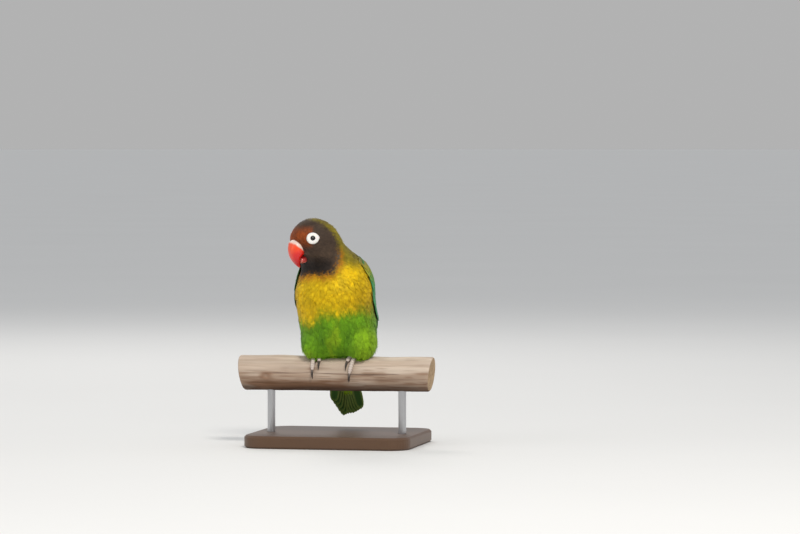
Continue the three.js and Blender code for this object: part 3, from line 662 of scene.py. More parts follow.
def long_feather(line, out, half, colour, edge, shaft, rows=12, cols=6, tip=0.5, rounded=0.55, camber=0.10, uv0=(0.5, 0.5), seed=0):
    """A stiff feather: line(t) gives the shaft's points, out(t) the side that
    faces away from the body; half(t) the half-width. Two-sided: it has an
    upper and a lower face with a thin edge. Returns verts, quads, colours, uv."""
    t = np.linspace(0, 1, rows)
    t = 1 - (1 - t) ** 1.25 * 1.0
    mid = line(t)
    tan = unit(np.gradient(mid, axis=0))
    o = out(t)
    o = unit(o - tan * (o * tan).sum(1, keepdims=True))
    side = np.cross(tan, o)
    end = np.sqrt(np.clip(1 - np.clip((t - (1 - tip * 0.35)) / (tip * 0.35), 0, 1) ** 2, 0.0004, 1))
    w = half(t) * end
    xs = np.linspace(-1, 1, cols + 1)
    # the rachis is off centre on flight feathers; here it runs down the middle
    V = mid[:, None] + side[:, None] * (w[:, None] * xs[None])[..., None] + o[:, None] * (-camber * w[:, None] * (xs[None] ** 2))[..., None]
    thick = 0.16
    top = V + o[:, None] * (thick * (1 - 0.7 * np.abs(xs)))[None, :, None]
    ridge = np.exp(-(xs / 0.12) ** 2)
    top = top + o[:, None] * (0.10 * ridge)[None, :, None]
    low = V - o[:, None] * (thick * (1 - 0.7 * np.abs(xs)))[None, :, None] * 0.6
    R, K = rows, cols + 1
    verts = np.concatenate([top.reshape(-1, 3), low.reshape(-1, 3)])
    idx = np.arange(R * K).reshape(R, K)
    a, b_, c, d_ = idx[:-1, :-1].ravel(), idx[:-1, 1:].ravel(), idx[1:, 1:].ravel(), idx[1:, :-1].ravel()
    topq = np.stack([a, d_, c, b_], 1)
    lowq = np.stack([a, b_, c, d_], 1) + R * K
    loop = np.concatenate([idx[0, :], idx[1:, -1], idx[-1, -2::-1], idx[-2:0:-1, 0]])
    nxt = np.roll(loop, -1)
    rim = np.stack([loop, nxt, nxt + R * K, loop + R * K], 1)
    quads = np.concatenate([topq, lowq, rim])
    rng = np.random.default_rng(seed)
    ed = smooth(0.55, 0.95, np.abs(xs))[None, :] * np.ones((R, 1))
    ed = np.maximum(ed, smooth(0.93, 1.0, t)[:, None])
    col = mix(np.broadcast_to(colour, (R, K, 3)), edge, ed * 0.8)
    col = mix(col, shaft, np.broadcast_to((np.abs(xs) < 0.05) * 0.7, (R, K)))
    # darker towards the root of each feather: painted shade where the feathers overlap
    col = col * (0.66 + 0.34 * smooth(0.15, 0.75, t))[:, None, None]
    barb = 1 + 0.06 * (rng.random((R, K)) - 0.5) + 0.05 * np.sin(40 * t)[:, None] * np.abs(xs)[None]
    col = col * barb[..., None]
    # the lower face is a darker copy of the upper: painted shade
    low_col = col * 0.7
    colr = np.concatenate([col.reshape(-1, 3), low_col.reshape(-1, 3)])
    uvt = np.stack([np.broadcast_to(xs[None], (R, K)), np.broadcast_to(t[:, None] * 2 - 1, (R, K))], -1).reshape(-1, 2)
    uv = np.asarray(uv0) + 0.0014 * np.concatenate([uvt, uvt])
    return verts, quads, colr, uv


class Pile:
    def __init__(self):
        self.v, self.q, self.t, self.c, self.u, self.n = [], [], [], [], [], 0

    def add(self, v, q, c, u, t=None):
        self.v.append(v)
        self.q.append(q + self.n)
        if t is not None and len(t):
            self.t.append(t + self.n)
        self.c.append(c)
        self.u.append(u)
        self.n += len(v)

    def make(self, name):
        faces = [np.concatenate(self.q)] + ([np.concatenate(self.t)] if self.t else [])
        return make(name, np.concatenate(self.v), faces, np.concatenate(self.c), np.concatenate(self.u))


def cover(pile, a, b, c, n, half, colour, edge, seed):
    """A soft covering feather from a over b to c, facing n."""
    def line(t):
        t = t[:, None]
        return (1 - t) ** 2 * a + 2 * t * (1 - t) * b + t ** 2 * c
    V, Q, C, U = long_feather(line, lambda t: np.broadcast_to(n, (len(t), 3)), table([[0, half * 0.5], [0.35, half], [1, half * 0.85]]),
                              colour, edge, mix(colour, edge, 0.3) * 0.85, 9, 5, 1.0, uv0=unwrap(a), seed=seed)
    pile.add(V, Q, C, U)


WG, WG_EDGE, WG_BLUE = srgb(34, 122, 62), srgb(84, 160, 78), srgb(30, 130, 108)
PRIM, PRIM_EDGE = srgb(26, 34, 32), srgb(34, 112, 62)
LESSER = srgb(58, 142, 62)

# rows of feathers on each wing: (s root, s tip, v from, v to, count, half-width, height, colour, edge)
WING_ROWS = [
    ("primaries", 0.52, None, None, None, 9, 2.7, 0.30, PRIM, PRIM_EDGE),
    ("secondaries", 0.40, None, None, None, 9, 3.3, 0.62, WG, WG_EDGE),
    ("greater", 0.27, None, None, None, 10, 2.9, 0.95, WG, WG_EDGE),
    ("median", 0.17, None, None, None, 9, 2.5, 1.15, LESSER, WG_EDGE),
]
for side, name in ((1, "left"), (-1, "right")):
    pile, flight = Pile(), Pile()
    seed = 300 + side

    def feather(target, s0, v0, s1, v1, half, h0, h1, colour, edge, rows=12, cols=6, k=0, tip=0.6):
        def line(t):
            s = s0 + (s1 - s0) * t
            v = v0 + (v1 - v0) * t
            return wing_point(side, s, v, h0 + (h1 - h0) * t)
        def out(t):
            s = s0 + (s1 - s0) * t
            v = v0 + (v1 - v0) * t
            e = 0.01
            a = wing_point(side, s, v + e, h0) - wing_point(side, s, v - e, h0)
            c = wing_point(side, s + e, v, h0) - wing_point(side, s - e, v, h0)
            nn = unit(np.cross(a, c))
            ray = spoke(side, FRONT(np.clip(s, 0, 1)) * (1 - v) + REAR(np.clip(s, 0, 1)) * v)
            return nn * np.sign((nn * ray).sum(1, keepdims=True))
        hw = table([[0, half * 0.55], [0.25, half * 0.95], [0.7, half], [1, half * 0.78]])
        root = wing_point(side, s0, v0, 0.0)
        u0 = unwrap(root)
        V, Q, C, U = long_feather(line, out, hw, colour, edge, mix(colour, edge, 0.3) * 0.8, rows, cols, tip, uv0=u0, seed=seed + k)
        target.add(V, Q, C, U)

    # nine primaries: a long narrow fan that runs to the wing's tip
    for i in range(9):
        a = i / 8
        s1 = 0.80 + 0.245 * a
        v1 = 0.10 + 0.55 * a
        feather(flight, 0.50, 0.10 + 0.35 * a, s1, v1, 2.3, 0.05 + 0.03 * (8 - i), 0.05 + 0.05 * i, PRIM, mix(PRIM, PRIM_EDGE, 0.9 if i < 8 else 1.0), 16, 6, i, tip=0.5)
    # ten secondaries and three tertials on the bird; twelve feathers here stand for them, stepped down towards the
    # spine
    for i in range(12):
        a = i / 11
        s1 = 0.60 + 0.20 * a ** 1.2
        v0 = 0.05 + 0.85 * a
        v1 = 0.06 + 0.86 * a
        col = mix(WG, PRIM, 0.35) * (0.95 + 0.1 * (i % 2))
        feather(flight, 0.34, v0, s1, v1, 3.2, 0.60 + 0.01 * i, 0.62 + 0.03 * i, col, WG_EDGE, 14, 6, 20 + i, tip=0.7)
    # greater coverts
    for i in range(11):
        a = i / 10
        col = mix(WG, WG_BLUE, 0.45 * (1 - a))
        feather(pile, 0.22 + 0.03 * a, 0.03 + 0.93 * a, 0.47 + 0.02 * a, 0.03 + 0.93 * a, 2.9, 0.80, 1.15, col, WG_EDGE, 12, 6, 40 + i, tip=0.8)
    # median and lesser coverts: many small overlapping scales
    k = 60
    for r, (s0, n_, half, ln) in enumerate([(0.165, 11, 2.4, 0.165), (0.115, 11, 2.1, 0.14), (0.07, 10, 1.8, 0.125), (0.03, 8, 1.6, 0.11), (0.0, 6, 1.5, 0.10)]):
        for i in range(n_):
            a = (i + 0.5 * (r % 2)) / (n_ - 0.5)
            col = mix(mix(LESSER, WG, 0.25 * r / 4), WG_BLUE, 0.35 * (1 - a) * (r < 3)) * (1 + 0.06 * RNG.standard_normal())
            feather(pile, s0, a * 0.98 + 0.01, s0 + ln, a * 0.98 + 0.01, half, 0.75, 1.2 + 0.1 * (r == 0), col, mix(col, WG_EDGE, 0.6), 8, 5, k, tip=1.0)
            k += 1
    # shoulder feathers and scapulars soften the wing's upper and rear edges
    for i in range(92):
        if i < 44:
            row, j = i // 11, i % 11
            s0, v0, ln = 0.082 - 0.019 * row, (j + 0.5 * (row % 2)) / 10.5, 0.085
            h0, h1, wd_ = 0.15, 1.2 + 0.05 * row, 1.5
        else:
            row, j = (i - 44) // 24, (i - 44) % 24
            s0, v0, ln = 0.02 + 0.40 * j / 23, 1.0 - 0.07 * row - 0.02 * (j % 2), 0.09 + 0.05 * j / 23
            h0, h1, wd_ = 0.5, 1.15, 1.5
        shade = markings_and_shade(wing_point(side, s0 + 0.03, v0, 0.0)[None])[0]
        t_ = smooth(-0.02, 0.09, s0 + 0.5 * ln * (1 if i < 44 else 2))
        col = mix(shade, LESSER, 0.35 + 0.45 * t_) * (1 + 0.07 * RNG.standard_normal())
        feather(pile, s0, v0, s0 + ln, v0 * 0.97 + 0.01, wd_, h0, h1, col, mix(col, GREEN_BRIGHT, 0.22), 8, 5, k, tip=1.0)
        k += 1
    # mantle and neck-side feathers rooted on the body, lying over the wing's edge
    for row in range(3):
        for i in range(14):
            v_ = -0.08 + 1.16 * (i + 0.5 * (row % 2)) / 13.5
            mid_ = wing_point(side, 0.02, v_, 0.9)
            r_, n_ = onto((mid_ - W_AXIS * (1.6 + 2.2 * row))[None], -0.3)
            if markings_and_shade(r_)[0].sum() < 0.19 or markings_and_shade(r_ - [0, 0, 3.0])[0].sum() < 0.19:
                continue
            shade = mix(markings_and_shade(r_)[0], LESSER, 0.42 - 0.16 * row) * (1 + 0.08 * RNG.standard_normal())
            cover(pile, r_[0], mid_, wing_point(side, 0.088 - 0.024 * row, v_, 1.45 + 0.12 * row), n_[0], 1.55, shade, mix(shade, GREEN_BRIGHT, 0.18), 700 + 20 * row + i)
    for row in range(2):
        for j in range(24):
            s_ = 0.04 + 0.40 * (j + 0.5 * row) / 24
            mid_ = wing_point(side, s_, 1.0, 0.8)
            away_ = unit(wing_point(side, s_, 1.06, 0.8) - mid_)
            r_, n_ = onto((mid_ + away_ * (1.2 + 1.3 * row) - W_AXIS * 3.2)[None], -0.3)
            if markings_and_shade(r_)[0].sum() < 0.19:
                continue
            shade = mix(markings_and_shade(r_)[0], LESSER, 0.40 - 0.2 * row) * (1 + 0.08 * RNG.standard_normal())
            cover(pile, r_[0], mid_, wing_point(side, s_ + 0.065, 0.93 + 0.05 * row, 1.40), n_[0], 1.5, shade, mix(shade, GREEN_BRIGHT, 0.18), 780 + 30 * row + j)
    # the dark leading edge with its green border feathers
    for i in range(9):
        a = i / 8
        s0 = 0.03 + 0.30 * a
        feather(pile, s0, 0.005, s0 + 0.13, 0.0, 0.95, 0.3, 0.5, srgb(24, 60, 40), srgb(40, 110, 60), 8, 4, k, tip=0.8)
        k += 1
    finish(pile.make("wing_coverts_" + name), MAT_WING, "wing_feather", "wing_" + name)
    finish(flight.make("wing_quills_" + name), MAT_WING, "flight_feather", "primaries_" + name)

# ------------------------------------------------------------------ the tail
TAIL_ROOT, TAIL_LEAN, TAIL_LEN = np.array([-2.2, 28.5, 57.0]), rad(16), 42.4
T_AXIS = np.array([0, np.sin(TAIL_LEAN), -np.cos(TAIL_LEAN)])
T_BACK = np.array([0, np.cos(TAIL_LEAN), np.sin(TAIL_LEAN)])
tail_length = table([[-1, 0.76], [-0.7, 0.86], [-0.3, 1.0], [0.1, 0.97], [0.5, 0.95], [1, 0.87]])
tail = Pile()
T_GREEN, T_EDGE, T_DARK = srgb(66, 122, 34), srgb(164, 186, 92), srgb(30, 42, 26)


def tail_line(k, long, layer):
    def line(t):
        p = TAIL_ROOT + np.multiply.outer(t * long, T_AXIS)
        p = p + np.multiply.outer((2.6 + 4.2 * t ** 0.75) * k + (3.4 if k > 0 else 0.6) * t * k, [1.0, 0, 0])
        return p + np.multiply.outer(-0.9 * abs(k) - 1.1 * k * k - 0.7 * t * t + layer, T_BACK)
    return line


for i in range(12):
    k = -1 + 2 * i / 11
    long = TAIL_LEN * float(tail_length(k)) * 1.0
    u0 = unwrap(TAIL_ROOT + np.array([6 * k, 0, 0]))
    V, Q, C, U = long_feather(tail_line(k, long, 0.25 - 0.06 * abs(i - 5.5)), lambda t: np.broadcast_to(T_BACK, (len(t), 3)),
                              table([[0, 1.8], [0.3, 2.8], [0.75, 3.3], [1, 2.7]]), mix(T_GREEN, T_DARK, 0.25 + 0.15 * (i % 2)), T_EDGE, T_GREEN * 0.6,
                              16, 8, 0.42, uv0=u0, seed=500 + i)
    tail.add(V, Q, C, U)
# upper and under tail coverts
for row, (n_, s0, ln, half, side_, c0) in enumerate([
        (7, -0.02, 0.36, 2.9, 1, mix(RUMP, GREEN, 0.35)), (6, 0.10, 0.36, 2.8, 1, mix(RUMP, GREEN, 0.55)),
        (7, 0.02, 0.50, 3.0, -1, GREEN_BRIGHT * 0.9), (7, 0.20, 0.46, 2.7, -1, mix(GREEN, GREEN_BRIGHT, 0.4))]):
    for i in range(n_):
        k = -0.9 + 1.8 * i / (n_ - 1)
        def line(t, k=k, s0=s0, ln=ln, side_=side_, row=row):
            tt = s0 + ln * t
            p = TAIL_ROOT + np.multiply.outer(tt * TAIL_LEN, T_AXIS)
            p = p + np.multiply.outer((3.0 + 4.6 * np.clip(tt, 0, 1) ** 0.75) * k * np.ones(len(t)), [1.0, 0, 0])
            return p + np.multiply.outer(-1.4 * k * k + side_ * (1.15 - 0.35 * t) - 0.3, T_BACK)
        V, Q, C, U = long_feather(line, lambda t, s=side_: np.broadcast_to(T_BACK * s, (len(t), 3)), table([[0, half * 0.6], [0.4, half], [1, half * 0.8]]),
                                  c0, mix(c0, GREEN_BRIGHT, 0.5), c0 * 0.8, 10, 6, 0.9, uv0=unwrap(TAIL_ROOT + np.array([6 * k, side_, 0])), seed=540 + 10 * row + i)
        tail.add(V, Q, C, U)
finish(tail.make("tail_feathers"), MAT_WING, "tail_feather", "tail")

# ------------------------------------------------------------------ the bill
def spline(points, t):
    """Catmull-Rom through evenly numbered points."""
    P = np.asarray(points, float)
    n = len(P) - 1
    x = np.clip(t, 0, 1) * n
    i = np.minimum(x.astype(int), n - 1)
    f = x - i
    if P.ndim > 1:
        f = f[:, None]
    p0, p1, p2, p3 = P[np.maximum(i - 1, 0)], P[i], P[i + 1], P[np.minimum(i + 2, n)]
    return 0.5 * (2 * p1 + (p2 - p0) * f + (2 * p0 - 5 * p1 + 4 * p2 - p3) * f ** 2 + (3 * p1 - p0 - 3 * p2 + p3) * f ** 3)


RIDGE = [[12.4, 4.2], [16.9, 2.3], [18.9, -0.8], [19.3, -4.6], [18.4, -8.6], [16.1, -12.4], [12.9, -15.7]]
EDGE = [[6.0, -4.2], [8.0, -5.8], [10.0, -7.0], [11.5, -8.4], [12.4, -10.4], [12.6, -12.8], [12.4, -15.4]]
BILL_WIDTH = [5.2, 6.0, 6.0, 5.3, 4.0, 2.3, 0.55]
BILL_TOP, BILL_MID, BILL_LOW = srgb(250, 78, 26), srgb(226, 16, 18), srgb(190, 4, 26)
CERE, TIP = srgb(236, 214, 200), srgb(220, 150, 130)


def closed_grid(P):
    """Quads over a grid (rows, ring) whose ring closes; the end rows are shut
    by fans."""
    R, K = P.shape[:2]
    idx = np.arange(R * K).reshape(R, K)
    nx = np.roll(idx, -1, 1)
    q = np.stack([idx[:-1], nx[:-1], nx[1:], idx[1:]], -1).reshape(-1, 4)
    v = np.concatenate([P.reshape(-1, 3), P[0].mean(0)[None], P[-1].mean(0)[None]])
    a, z = R * K, R * K + 1
    t = np.concatenate([np.stack([nx[0], idx[0], np.full(K, a)], 1), np.stack([idx[-1], nx[-1], np.full(K, z)], 1)])
    return v, q, t


def outward(v, q, t):
    """Turns the faces so that the signed volume is positive."""
    tri = np.concatenate([t, q[:, [0, 1, 2]], q[:, [0, 2, 3]]])
    a, b, c = v[tri[:, 0]], v[tri[:, 1]], v[tri[:, 2]]
    if (np.cross(a, b) * c).sum() < 0:
        return q[:, ::-1], t[:, ::-1]
    return q, t


R_, K_ = 60, 56
tt = np.linspace(0, 1, R_)
rd, ed, wd = spline(RIDGE, tt), spline(EDGE, tt), spline(BILL_WIDTH, tt)
ang = np.linspace(0, 2 * np.pi, K_, endpoint=False)
full = np.minimum(1, smooth(0, 0.07, tt)) ** 0.5 * np.where(tt > 0.97, np.sqrt(np.clip((1 - tt) / 0.03, 0, 1)), 1)
c_, s_ = np.cos(ang), np.sin(ang)
power = lambda v, e: np.sign(v) * np.abs(v) ** e
kk = full[:, None] * power(c_, 0.92)[None]
sd = full[:, None] * power(s_, 0.8)[None] * np.where(c_ > 0, 1 - 0.16 * c_ * c_, 1)[None]
fm, um = (rd + ed)[:, 0] / 2, (rd + ed)[:, 1] / 2
fh, uh = (rd - ed)[:, 0] / 2, (rd - ed)[:, 1] / 2
L_ = sd * wd[:, None]
F_ = fm[:, None] + fh[:, None] * kk
U_ = um[:, None] + uh[:, None] * kk
# the tomial notch and a cutting edge, slightly toothed
notch = np.exp(-((tt - 0.60) / 0.07) ** 2)[:, None] * smooth(0.2, -0.9, c_)[None]
F_ = F_ + 0.55 * notch
P = at_head(L_, F_, U_)
# the cere: a soft swollen band where the bill leaves the feathers
band = np.exp(-((tt - 0.235) / 0.055) ** 2)[:, None] * smooth(0.15, 0.75, c_)[None]
centre = at_head(np.zeros(R_), fm, um)[:, None]
P = P + unit(P - centre) * (0.40 * band)[..., None]
nost = [at_head(s * 2.9, 16.9, 0.9) for s in (1, -1)]
dn = np.minimum(*[np.linalg.norm(P - o, axis=-1) for o in nost])
P = P - unit(P - centre) * (0.35 * np.exp(-(dn / 0.55) ** 2))[..., None]
v, q4, t3 = closed_grid(P)
q4, t3 = outward(v, q4, t3)
vt = np.concatenate([np.repeat(tt, K_), [0, 1]])
vc = np.concatenate([np.tile(c_, R_), [0, 0]])
cu = head_lfu(v)[:, 2]
col = mix(BILL_TOP, BILL_MID, smooth(-1.5, -7.5, cu + 0.6 * noise(v, 2.2, 31)))
col = mix(col, BILL_LOW, smooth(-7, -13, cu) * 0.8)
col = mix(col, TIP, smooth(0.90, 0.985, vt) * 0.85)
# a pale salmon streak along the top of the ridge: a painted highlight
col = mix(col, srgb(255, 120, 80), 0.22 * smooth(0.55, 1.0, vc) * smooth(0.2, 0.4, vt) * smooth(0.9, 0.6, vt))
cere_line = 0.236 + 0.02 * smooth(0.9, 0.2, vc)
col = mix(col, CERE, smooth(0.05, -0.02, vt - cere_line + 0.010 * noise(v, 1.2, 32)))
dn = np.minimum(*[np.linalg.norm(v - o, axis=-1) for o in nost])
col = mix(col, srgb(70, 40, 30), np.exp(-(dn / 0.42) ** 2) * 0.9)
ob = make("bill_upper", v, [q4, t3], col)
finish(ob, MAT_BILL, "bill", "beak_upper")

# lower half
LOW = np.array([[4.5, -8.4], [8, -9.4], [10.6, -10.3], [12.6, -10.8]])
tt = np.linspace(0, 1, 34)
mid = spline(LOW, tt)
wl = np.interp(tt, [0, 0.5, 0.85, 1], [2.7, 3.0, 2.7, 2.0]) * np.sqrt(np.clip(1 - np.clip((tt - 0.86) / 0.14, 0, 1) ** 2, 0.001, 1))
hl = np.interp(tt, [0, 0.5, 1], [2.5, 2.7, 1.6]) * np.sqrt(np.clip(1 - np.clip((tt - 0.90) / 0.10, 0, 1) ** 2, 0.01, 1))
top = np.where(s_ > 0, 0.95, 1.0)
P = at_head(wl[:, None] * c_[None], np.broadcast_to(mid[:, :1], (34, K_)), mid[:, 1:] + hl[:, None] * (s_ * top)[None])
v, q4, t3 = closed_grid(P)
q4, t3 = outward(v, q4, t3)
cu = head_lfu(v)
col = mix(srgb(200, 52, 48), srgb(214, 118, 106), smooth(-10.4, -12.6, cu[:, 2]) * 0.8)
col = mix(col, srgb(236, 176, 160), smooth(11.4, 12.4, cu[:, 1]) * 0.6)
finish(make("bill_lower", v, [q4, t3], col), MAT_BILL, "bill", "beak_lower")

# ------------------------------------------------------------------ the eyes
for side, name in ((1, "left"), (-1, "right")):
    c0, n0 = eye_surface[side], eye_normal[side]
    e1 = unit(FORE - n0 * (FORE @ n0))
    e2 = np.cross(n0, e1)
    if e2 @ UP < 0:
        e2 = -e2
    place = lambda a, b, h: c0 + np.multiply.outer(a, e1) + np.multiply.outer(b, e2) + np.multiply.outer(h, n0)
    # ball, with a slight corneal bulge
    R_, K_ = 40, 48
    th = np.linspace(0.0, np.pi, R_)[:, None]
    ph = np.linspace(0, 2 * np.pi, K_, endpoint=False)[None]
    r0 = EYE["radius"] + 0.18 * np.exp(-(th / 0.55) ** 2)
    P = place(r0 * np.sin(th) * np.cos(ph), r0 * np.sin(th) * np.sin(ph), r0 * np.cos(th) * np.ones_like(ph) - EYE["depth"])
    v, q4, t3 = closed_grid(P)
    q4, t3 = outward(v, q4, t3)
    ang_ = np.concatenate([np.repeat(th[:, 0], K_), [0, np.pi]])
    col = mix(srgb(5, 4, 4), srgb(38, 22, 14), smooth(0.34, 0.42, ang_))
    col = mix(col, srgb(16, 11, 9), smooth(0.60, 0.72, ang_))
    finish(make("eyeball_" + name, v, [q4, t3], col), MAT_EYE, "eye", "eye_" + name)
    # the bare white ring: a soft raised annulus, drawn out to a point behind,
    # with a dark lid edge round the opening
    R_, K_ = 26, 96
    a = np.linspace(0, 2 * np.pi, K_, endpoint=False)
    rho = np.concatenate([np.linspace(1.42, 1.62, 6), np.linspace(1.72, 3.35, 12), np.linspace(3.45, 4.0, 8)])
    back_ = np.cos(a - np.pi)  # 1 behind
    stretch_ = 1 + 0.10 * np.exp(-((1 - back_) / 0.10)) + 0.03 * back_
    prof_h = np.interp(rho, [1.42, 1.52, 1.75, 2.5, 3.2, 3.7, 4.0], [0.02, 0.30, 0.36, 0.32, 0.20, -0.05, -0.55])
    A = rho[:, None] * np.cos(a)[None] * np.where(rho[:, None] > 2.4, stretch_[None], 1 + 0.04 * back_[None])
    B = rho[:, None] * np.sin(a)[None] * np.where(rho[:, None] > 2.4, 0.93, 0.95)
    # follow the head's curve
    pts = place(A, B, np.zeros_like(A))
    drop = body_field(pts)
    H = prof_h[:, None] - drop + 0.05 * np.sin(a * 23)[None] * smooth(2.0, 2.6, rho)[:, None] * smooth(4.1, 3.3, rho)[:, None]
    top_ = place(A, B, H)
    under = place(A, B, H - 0.9 - 0.0 * A)
    ring = np.concatenate([top_, under[::-1]], 0)
    R2 = ring.shape[0]
    idx = np.arange(R2 * K_).reshape(R2, K_)
    nx = np.roll(idx, -1, 1)
    nr = np.roll(idx, -1, 0)
    nxr = np.roll(nx, -1, 0)
    q4 = np.stack([idx, nx, nxr, nr], -1).reshape(-1, 4)
    v = ring.reshape(-1, 3)
    tri = np.concatenate([q4[:, [0, 1, 2]], q4[:, [0, 2, 3]]])
    if (np.cross(v[tri[:, 0]], v[tri[:, 1]]) * v[tri[:, 2]]).sum() - 0 < 0:
        q4 = q4[:, ::-1]
    vol = ((np.cross(v[tri[:, 0]] - c0, v[tri[:, 1]] - c0)) * (v[tri[:, 2]] - c0)).sum()
    q4 = np.stack([idx, nx, nxr, nr], -1).reshape(-1, 4)
    if vol < 0:
        q4 = q4[:, ::-1]
    rr = np.repeat(np.concatenate([rho, rho[::-1]]), K_)
    col = mix(srgb(40, 30, 27), srgb(244, 240, 234), smooth(1.52, 1.72, rr))
    col = mix(col, srgb(206, 196, 188), 0.6 * smooth(3.5, 4.1, rr) + 0.15 * smooth(0.2, 0.7, noise(v, 0.7, 41)))
    finish(make("eye_skin_" + name, v, q4, col), MAT_RING, "eye_skin", "eye_ring_" + name)

# ------------------------------------------------------------ legs and feet
TOE_R, TOE_TIP = 1.45, 1.05


def around(x, deg, r):
    a = rad(deg)
    return np.stack([np.broadcast_to(x, np.shape(a)), -np.sin(a) * r, PERCH_Z + np.cos(a) * r], -1)


FEET = {
    "left": (15.2, [(15.4, 11.2, 88), (12.4, 9.0, 50), (13.6, 12.4, -66), (17.4, 18.6, -84)]),
    "right": (-13.4, [(-13.6, -13.1, 78), (-11.0, -9.2, 50), (-12.0, -11.0, -66), (-15.6, -16.8, -84)]),
}
GRIP = PERCH_R + TOE_R + 0.05


def rod(line, out, wide, thick, rows=40, ring=18, bulge=None, seed=0):
    t = np.linspace(0, 1, rows)
    mid = line(t)
    tan = unit(np.gradient(mid, axis=0))
    o = out(t)
    o = unit(o - tan * (o * tan).sum(1, keepdims=True))
    b = np.cross(tan, o)
    a = np.linspace(0, 2 * np.pi, ring, endpoint=False)
    w, h = wide(t), thick(t)
    m = 1 if bulge is None else bulge(t[:, None], a[None])
    P = mid[:, None] + b[:, None] * (w[:, None] * np.cos(a)[None] * m)[..., None] + o[:, None] * (h[:, None] * np.sin(a)[None] * m)[..., None]
    v, q, tr = closed_grid(P)
    q, tr = outward_local(v, q, tr)
    return v, q, tr, np.concatenate([np.repeat(t, ring), [0, 1]]), np.concatenate([np.tile(a, rows), [0, 0]])


def outward_local(v, q, t):
    c = v.mean(0)
    tri = np.concatenate([t, q[:, [0, 1, 2]], q[:, [0, 2, 3]]])
    a, b, d = v[tri[:, 0]] - c, v[tri[:, 1]] - c, v[tri[:, 2]] - c
    if (np.cross(a, b) * d).sum() < 0:
        return q[:, ::-1], t[:, ::-1]
    return q, t


FOOT_A, FOOT_B = srgb(206, 190, 178), srgb(150, 132, 122)
for name, (fx, toes) in FEET.items():
    foot = Pile()
    for ti, (x0, x1, deg) in enumerate(toes):
        def line(t, x0=x0, x1=x1, deg=deg):
            x = (fx * 0.5 + x0 * 0.5) + (x1 - (fx * 0.5 + x0 * 0.5)) * np.clip(t, 0, 1) ** 0.7
            return around(x, deg * t, GRIP - 0.15 * t)
        def out(t, deg=deg):
            return around(0.0 * t, deg * t, 1.0) - np.array([0, 0, PERCH_Z])
        joints = [0.34, 0.62, 0.84]
        def bulge(t, a, joints=joints):
            sc = 1 + 0.045 * np.abs(np.sin(t * np.pi * 13)) * (np.sin(a) > -0.2)
            for j in joints:
                sc = sc + 0.10 * np.exp(-((t - j) / 0.05) ** 2) - 0.05 * np.exp(-((t - j - 0.09) / 0.04) ** 2)
            return sc
        endt = lambda t: np.sqrt(np.clip(1 - np.clip((t - 0.93) / 0.07, 0, 1) ** 2, 0.02, 1)) * np.sqrt(np.clip(1 - np.clip((0.05 - t) / 0.05, 0, 1) ** 2, 0.02, 1))
        v, q4, t3, vt, va = rod(line, out, lambda t: np.interp(t, [0, 0.3, 0.55, 0.75, 1], [1.4, 1.45, 1.25, 1.35, 1.05]) * endt(t),
                                lambda t: np.interp(t, [0, 1], [TOE_R, TOE_TIP]) * endt(t), 64, 20, bulge)
        ring_ = 0.5 + 0.5 * np.cos(vt * np.pi * 26)
        col = mix(FOOT_A, FOOT_B, 0.55 * smooth(0.55, 1.0, ring_) + 0.2 * smooth(0, 0.6, noise(v, 1.0, 51)))
        # paler on the side of each toe that faces away from the perch: painted light
        col = mix(col, srgb(222, 206, 196), 0.4 * smooth(0.4, 1, np.sin(va)))
        foot.add(v, q4, col, np.zeros((len(v), 2)), t3)
    # palm and shank
    th = np.linspace(0.05, np.pi - 0.05, 20)[:, None]
    ph = np.linspace(0, 2 * np.pi, 24, endpoint=False)[None]
    c0 = around(fx, 0.0, GRIP + 0.5)
    P = c0 + np.stack([2.6 * np.sin(th) * np.cos(ph), 3.0 * np.sin(th) * np.sin(ph), 1.8 * np.cos(th) * np.ones_like(ph)], -1)
    v, q4, t3 = closed_grid(P)
    q4, t3 = outward_local(v, q4, t3)
    foot.add(v, q4, mix(FOOT_A, FOOT_B, 0.5 * smooth(-0.3, 0.6, noise(v, 0.8, 52))), np.zeros((len(v), 2)), t3)
    pts = np.array([around(fx, 0.0, GRIP), [fx * 1.02, 2.5, PERCH_Z + GRIP + 3.5], [fx * 1.05, 4.6, PERCH_Z + GRIP + 7]])
    v, q4, t3, vt, va = rod(lambda t: spline(pts, t), lambda t: np.broadcast_to([0, -1.0, 0.0], (len(t), 3)), lambda t: np.full(len(t), 1.55), lambda t: np.full(len(t), 1.65), 20, 16,
                            lambda t, a: 1 + 0.04 * np.abs(np.sin(t * np.pi * 9)))
    foot.add(v, q4, mix(FOOT_A, FOOT_B, 0.4 * np.abs(np.sin(vt * np.pi * 9))), np.zeros((len(v), 2)), t3)
    ob = make("foot_" + name + "_scaled", np.concatenate(foot.v), [np.concatenate(foot.q), np.concatenate(foot.t)], np.concatenate(foot.c))
    finish(ob, MAT_FOOT, "foot_skin", "foot_" + name)
    for toe, (x0, x1, deg) in zip(("outer_front", "inner_front", "inner_back", "outer_back"), toes):
        s, more, lean = np.sign(deg), 27, (x1 - x0) * 0.12
        def line(t):
            u = -0.12 + 1.12 * t
            r = GRIP - 0.30 + 1.0 * np.sin(np.pi * np.clip(u, 0, 1)) - 0.35 * u
            return around(x1 + lean * u, deg + s * more * u, r)
        def out(t):
            u = -0.12 + 1.12 * t
            return around(0.0 * t, deg + s * more * u, 1.0) - np.array([0, 0, PERCH_Z])
        v, q4, t3, vt, va = rod(line, out, lambda t: np.interp(t, [0, 0.25, 0.7, 1], [0.68, 0.80, 0.50, 0.06]), lambda t: np.interp(t, [0, 0.25, 0.7, 1], [0.75, 0.95, 0.60, 0.07]), 26, 14)
        col = mix(srgb(120, 106, 98), srgb(58, 50, 46), smooth(0.05, 0.5, vt))
        finish(make("nail_%s_%s" % (name, toe), v, [q4, t3], col), MAT_CLAW, "claw", "claw_%s_%s" % (name, toe))

